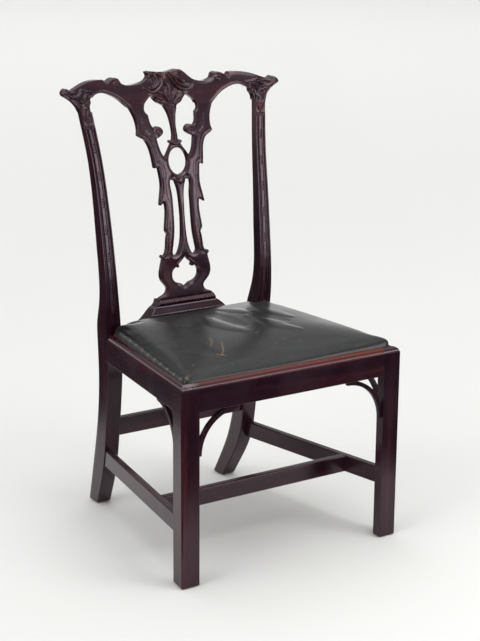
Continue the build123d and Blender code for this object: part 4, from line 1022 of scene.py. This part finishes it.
def seatOutline():
    s = seatPad
    r = s["cornerRound"]
    right = []
    for k in range(s["cornerSteps"] + 1):
        a = math.pi / 2 * k / s["cornerSteps"]
        right.append((s["frontHalf"] - r + r * math.sin(a), s["frontY"] + r - r * math.cos(a)))
    right += [(s["notchHalf"], s["notchY"]), (s["tongueHalf"], s["notchY"]), (s["tongueHalf"], s["backY"])]
    return right + [(-x, y) for x, y in reversed(right)]


def insetFrom(flat, outline):
    # distance in plan from each point to the nearest edge of the outline
    best = np.full(len(flat), 1e9)
    for i in range(len(outline)):
        a = np.array(outline[i])
        run = np.array(outline[(i + 1) % len(outline)]) - a
        t = np.clip(((flat - a) @ run) / (run @ run), 0, 1)
        best = np.minimum(best, np.hypot(*(flat - a - t[:, None] * run).T))
    return best


def seatSwell(flat):
    # the stuffing rises towards the back and swells in the middle
    s = seatPad
    back = (flat[:, 1] - s["frontY"]) / (s["backY"] - s["frontY"])
    half = s["frontHalf"] + (s["notchHalf"] - s["frontHalf"]) * back
    fromSide = np.clip((half - np.abs(flat[:, 0])) / s["crownRun"], 0, 1)
    fromEnd = np.clip(np.minimum(flat[:, 1] - s["frontY"], s["backY"] - flat[:, 1]) / s["crownRun"], 0, 1)
    reach = (1 - (1 - fromSide) ** 2) * (1 - (1 - fromEnd) ** 2)
    lopsided = s["rightRise"] * np.clip(flat[:, 0] / half, 0, 1)
    return s["crown"] * reach + s["backRise"] * back + lopsided


def planOf(points):
    return np.column_stack([points[:, 0], points[:, 1] + chair["depthShift"]])


def makeSlab(name, outline, bottom, tall, voxelMm, finish):
    mesh = bpy.data.meshes.new(name)
    low = [(x / 1000, (y - chair["depthShift"]) / 1000, bottom / 1000) for x, y in outline]
    mesh.from_pydata(low, [], [tuple(range(len(low)))])
    piece = newPiece(name, mesh, finish, "drop_in_seat")
    up = {"value": (0, 0, tall / 1000)}
    onWholeMesh(piece, bpy.ops.mesh.extrude_region_move, TRANSFORM_OT_translate=up)
    onWholeMesh(piece, bpy.ops.mesh.normals_make_consistent, inside=False)
    addRemesh(piece, voxelMm)
    applyAll(piece)
    return piece


def blowOut(piece, rest):
    # pressure of the stuffing under the hide, with a small cap on what it moves
    s = seatPad
    held = [int(i) for i in np.nonzero(rest[:, 2] < chair["railTop"] + s["heldTo"])[0]]
    piece.vertex_groups.new(name="held").add(held, 1.0, "REPLACE")
    cloth = piece.modifiers.new("hide", "CLOTH")
    for key, value in s["cloth"].items():
        setattr(cloth.settings, key, value)
    cloth.settings.effector_weights.gravity = 0
    cloth.collision_settings.use_collision = False
    for step in range(1, s["frames"] + 1):
        bpy.context.scene.frame_set(step)
    applyAll(piece)
    bpy.context.scene.frame_set(1)
    move = meshPoints(piece)[0] - rest
    caps = np.array(s["caps"])
    setPoints(piece, rest + np.clip(move, -caps, caps))
    print("seat cloth moved at most", round(float(np.linalg.norm(move, axis=1).max()), 1), "mm")


def openBelow(piece):
    # leave the hide open below, inside the turned edge
    s = seatPad
    onWholeMesh(piece, bpy.ops.mesh.select_all, action="DESELECT")
    for face in piece.data.polygons:
        x, y, z = face.center.x * 1000, face.center.y * 1000 + chair["depthShift"], face.center.z * 1000
        share = (y - s["frontY"]) / (s["notchY"] - s["frontY"])
        reach = s["frontHalf"] + (s["notchHalf"] - s["frontHalf"]) * share - s["turnUnder"]
        inside = abs(x) < reach and s["frontY"] + s["turnUnder"] < y < s["backY"] - s["turnUnder"]
        face.select = inside and z < s["bottom"] + s["underHigh"]
    bpy.ops.object.mode_set(mode="EDIT")
    bpy.ops.mesh.select_mode(type="FACE")
    bpy.ops.mesh.delete(type="FACE")
    bpy.ops.object.mode_set(mode="OBJECT")


def makeSeat():
    s = seatPad
    outline = seatOutline()
    tall = s["edgeTop"] - s["bottom"]
    piece = makeSlab("leatherSeat", outline, s["bottom"], tall, s["voxelMm"], leather)
    points = meshPoints(piece)[0]
    above = ease(s["edgeTop"] - s["footFrom"], s["edgeTop"] - s["footTo"], points[:, 2])
    points[:, 2] += above * seatSwell(planOf(points))
    setPoints(piece, points)
    blowOut(piece, points)
    addSmooth(piece, *s["relax"])
    finer = piece.modifiers.new("finer", "SUBSURF")
    finer.levels = finer.render_levels = 1
    applyAll(piece)
    points, normals = meshPoints(piece)
    flat = planOf(points)
    top = ease(*s["facing"], normals[:, 2])
    swell = np.zeros(len(points))
    for path, widths, height in s["folds"]:
        swell += height * gouge(flat, path, widths, 1.0) ** 2
    points[:, 2] += swell * top
    # the hide rolls over the front and left rim down to the rails
    inset = insetFrom(flat, outline)
    rolled = 1 - ease(*s["rollAcross"], flat[:, 0]) * ease(*s["rollFront"], flat[:, 1])
    rolled *= 1 - ease(*s["rollBack"], flat[:, 1])
    drop = s["rimDrop"] * rolled * (1 - np.clip(inset / s["rimRun"], 0, 1)) ** 2
    rim = s["edgeTop"] + seatSwell(flat) + s["rimSlack"] - drop
    points[:, 2] = np.where(inset < s["rimRun"], np.minimum(points[:, 2], rim), points[:, 2])
    setPoints(piece, points)
    crack = np.zeros(len(points))
    for path in s["cracks"]:
        crack = np.maximum(crack, s["crackMuch"] * gouge(flat, path, s["crackWide"], 1.0) * top)
    for x, y, wide, much in s["wornCorners"]:
        crack = np.maximum(crack, much * bell(np.hypot(flat[:, 0] - x, flat[:, 1] - y), 0, wide))
    # a thin pale line along the rim above the rails, partly scuffing and partly painted highlight, then pale
    # scuff flecks
    scuffAndHighlight = s["edgeWearAndHighlight"] * bell(inset, 0, s["edgeWide"]) * (points[:, 2] > chair["railTop"])
    for x, y in s["flecks"]:
        fleck = bell(np.hypot(flat[:, 0] - x, flat[:, 1] - y), 0, s["fleckWide"])
        scuffAndHighlight = np.maximum(scuffAndHighlight, s["fleckMuch"] * fleck * top)
    setAttribute(piece, "wearAndHighlight", scuffAndHighlight)
    setAttribute(piece, "crack", crack)
    openBelow(piece)
    wall = piece.modifiers.new("hide", "SOLIDIFY")
    wall.thickness = s["hide"] / 1000
    wall.offset = -1
    applyAll(piece)
    bpy.ops.object.shade_smooth()
    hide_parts("leather_cover")
    print("seat made:", len(piece.data.polygons), "faces")


# curled hair under the hide, on the sackcloth, drawn in towards its middle and softly lumped
hairPad = {
    "bottom": 426.6, "tall": 11.0, "middle": (0.0, 200.0), "inset": 10.0, "under": 2.6, "voxelMm": 5.0,
    "matted": 0.8, "lumpAcross": 7.0, "lumpDeep": 9.0, "thin": 0.4,
}


def makeHairPad():
    h = hairPad
    middle = np.array(h["middle"])
    shrunk = [middle + (np.array(p) - middle) * (1 - h["inset"] / middle[1]) for p in seatOutline()]
    piece = makeSlab("hairPad", shrunk, h["bottom"], h["tall"], h["voxelMm"], hair)
    points = meshPoints(piece)[0]
    flat = planOf(points)
    share = np.clip((points[:, 2] - h["bottom"]) / h["tall"], 0, 1)
    tall = seatPad["edgeTop"] + seatSwell(flat) - h["under"] - h["bottom"]
    lumps = np.sin(flat[:, 0] / h["lumpAcross"]) * np.sin(flat[:, 1] / h["lumpDeep"] + 1) - 1
    points[:, 2] = h["bottom"] + share * np.maximum(tall + h["matted"] * lumps, h["thin"])
    setPoints(piece, points)
    bpy.ops.object.shade_smooth()
    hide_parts("stuffing")
    print("hair pad made")


makeBack()
makeShoe()
for side, sign in (("right", 1), ("left", -1)):
    makePearls(side, makePost(side, sign))
print("posts made")
makeSeat()
makeHairPad()

# stage: pale floor, soft lights, camera
stage = {
    "floor": "#d2d2d0", "floorSize": 60.0,
    "lens": 89.27, "sensor": 36.0, "target": (-1.67, 200.0, 467.69), "distance": 3309.81,
    "azimuth": -33.81, "elevation": 14.94, "roll": 0.46,
    # glow of the room: a white sweep beyond the chair, softer towards the camera, dark below the horizon,
    # bright overhead and at the left, each with the run over which it comes in
    "horizon": 2.8, "sweepTop": 0.18, "sweepRun": (0.02, 0.34), "room": 0.58, "roomRun": (0.35, 0.85),
    "pit": 0.06, "pitRun": (-0.10, 0.0), "overhead": 2.0, "overheadRun": (0.6, 0.9),
    "leftGlow": 5.0, "leftRun": (0.84, 0.98), "leftward": (-0.95, -0.08, 0.30), "seenGlow": 0.85,
    # the stretch of floor that the polish mirrors, across the view and along it
    "sheetLeft": -0.8, "sheetRight": 0.75, "sheetNear": -0.52, "sheetFar": 12.0, "sheetUp": 0.0003,
    "lights": [
        # name, place, aim, width, height, watts
        ("farSoft", (5.5, 10.0, 8.0), (5.5, 10.0, 0.0), 14.0, 14.0, 310.0),
        ("frontRightSoft", (1.95, -3.05, 1.08), (0.0, 0.1, 0.8), 1.75, 1.35, 36.0),
        ("frontTopSoft", (0.5, -1.6, 3.4), (0.3, -0.5, 0.0), 1.6, 1.6, 36.0),
    ],
}


def makeFloor(ahead, across):
    s = stage
    bpy.ops.mesh.primitive_plane_add(size=s["floorSize"], location=(0, 0, 0))
    floor = bpy.context.object
    floor.name = "paleFloor"
    # matt pale paper: soft shadow, no shine
    material, tree = newMaterial("paleFloorPaper")
    surface(tree, {"Base Color": hexColor(s["floor"]), "Roughness": 0.9, "Specular IOR Level": 0.2})
    floor.data.materials.append(material)
    floor.visible_glossy = False
    # the polish mirrors this sheet in place of the floor, and the dark of the room beyond it
    corners = [ahead * s[far] + across * s[side] + Vector((0, 0, s["sheetUp"]))
               for far in ("sheetNear", "sheetFar") for side in ("sheetLeft", "sheetRight")]
    mesh = bpy.data.meshes.new("mirroredSheet")
    mesh.from_pydata(corners, [], [(0, 1, 3, 2)])
    sheet = linked("mirroredSheet", mesh)
    mesh.materials.append(material)
    sheet.visible_camera = sheet.visible_diffuse = sheet.visible_shadow = False


def makeRoom(ahead):
    s = stage
    world = bpy.data.worlds.new("softStudio")
    world.use_nodes = True
    tree = world.node_tree
    tree.nodes.clear()
    direction = addNode(tree, "ShaderNodeTexCoord").outputs["Generated"]
    height = axisOf(tree, direction, "Z")

    def fade(value, run, low=0.0, high=1.0):
        return spread(tree, value, *run, low, high, interpolation_type="SMOOTHSTEP")

    def toward(way):
        return vectorCalc(tree, "DOT_PRODUCT", direction, way, output="Value")

    sweep = fade(height, s["sweepRun"], s["horizon"], s["sweepTop"])
    glow = mixed(tree, fade(toward(ahead), s["roomRun"]), s["room"], sweep)
    glow = mixed(tree, fade(height, s["pitRun"]), s["pit"], glow)
    glow = mixed(tree, fade(height, s["overheadRun"]), glow, s["overhead"])
    glow = calc(tree, "ADD", glow, fade(toward(s["leftward"]), s["leftRun"], 0.0, s["leftGlow"]))
    seen = addNode(tree, "ShaderNodeLightPath").outputs["Is Camera Ray"]
    sky = addNode(tree, "ShaderNodeBackground", {"Strength": mixed(tree, seen, glow, s["seenGlow"])})
    addNode(tree, "ShaderNodeOutputWorld", {"Surface": sky.outputs["Background"]})
    bpy.context.scene.world = world


def makeLights():
    for name, place, aim, width, height, watts in stage["lights"]:
        bpy.ops.object.light_add(type="AREA", location=place)
        light = bpy.context.object
        light.name = name
        light.data.energy = watts
        light.data.shape = "RECTANGLE"
        light.data.size = width
        light.data.size_y = height
        light.rotation_euler = (Vector(aim) - Vector(place)).to_track_quat("-Z", "Y").to_euler()


def makeCamera():
    a, e, r = (math.radians(stage[key]) for key in ("azimuth", "elevation", "roll"))
    away = Vector((math.sin(a) * math.cos(e), -math.cos(a) * math.cos(e), math.sin(e)))
    x, y, z = stage["target"]
    target = Vector((x, y - chair["depthShift"], z)) / 1000
    bpy.ops.object.camera_add(location=target + away * stage["distance"] / 1000)
    camera = bpy.context.object
    camera.name = "photoCamera"
    camera.data.lens = stage["lens"]
    camera.data.sensor_width = stage["sensor"]
    camera.data.sensor_fit = "AUTO"
    camera.rotation_mode = "QUATERNION"
    camera.rotation_quaternion = Quaternion(away, r) @ (-away).to_track_quat("-Z", "Y")
    bpy.context.scene.camera = camera
    bpy.context.scene.view_settings.view_transform = "Standard"


view = math.radians(stage["azimuth"])
ahead, across = Vector((-math.sin(view), math.cos(view), 0)), Vector((math.cos(view), math.sin(view), 0))
makeFloor(ahead, across)
makeRoom(ahead)
makeLights()
makeCamera()
print("stage set")
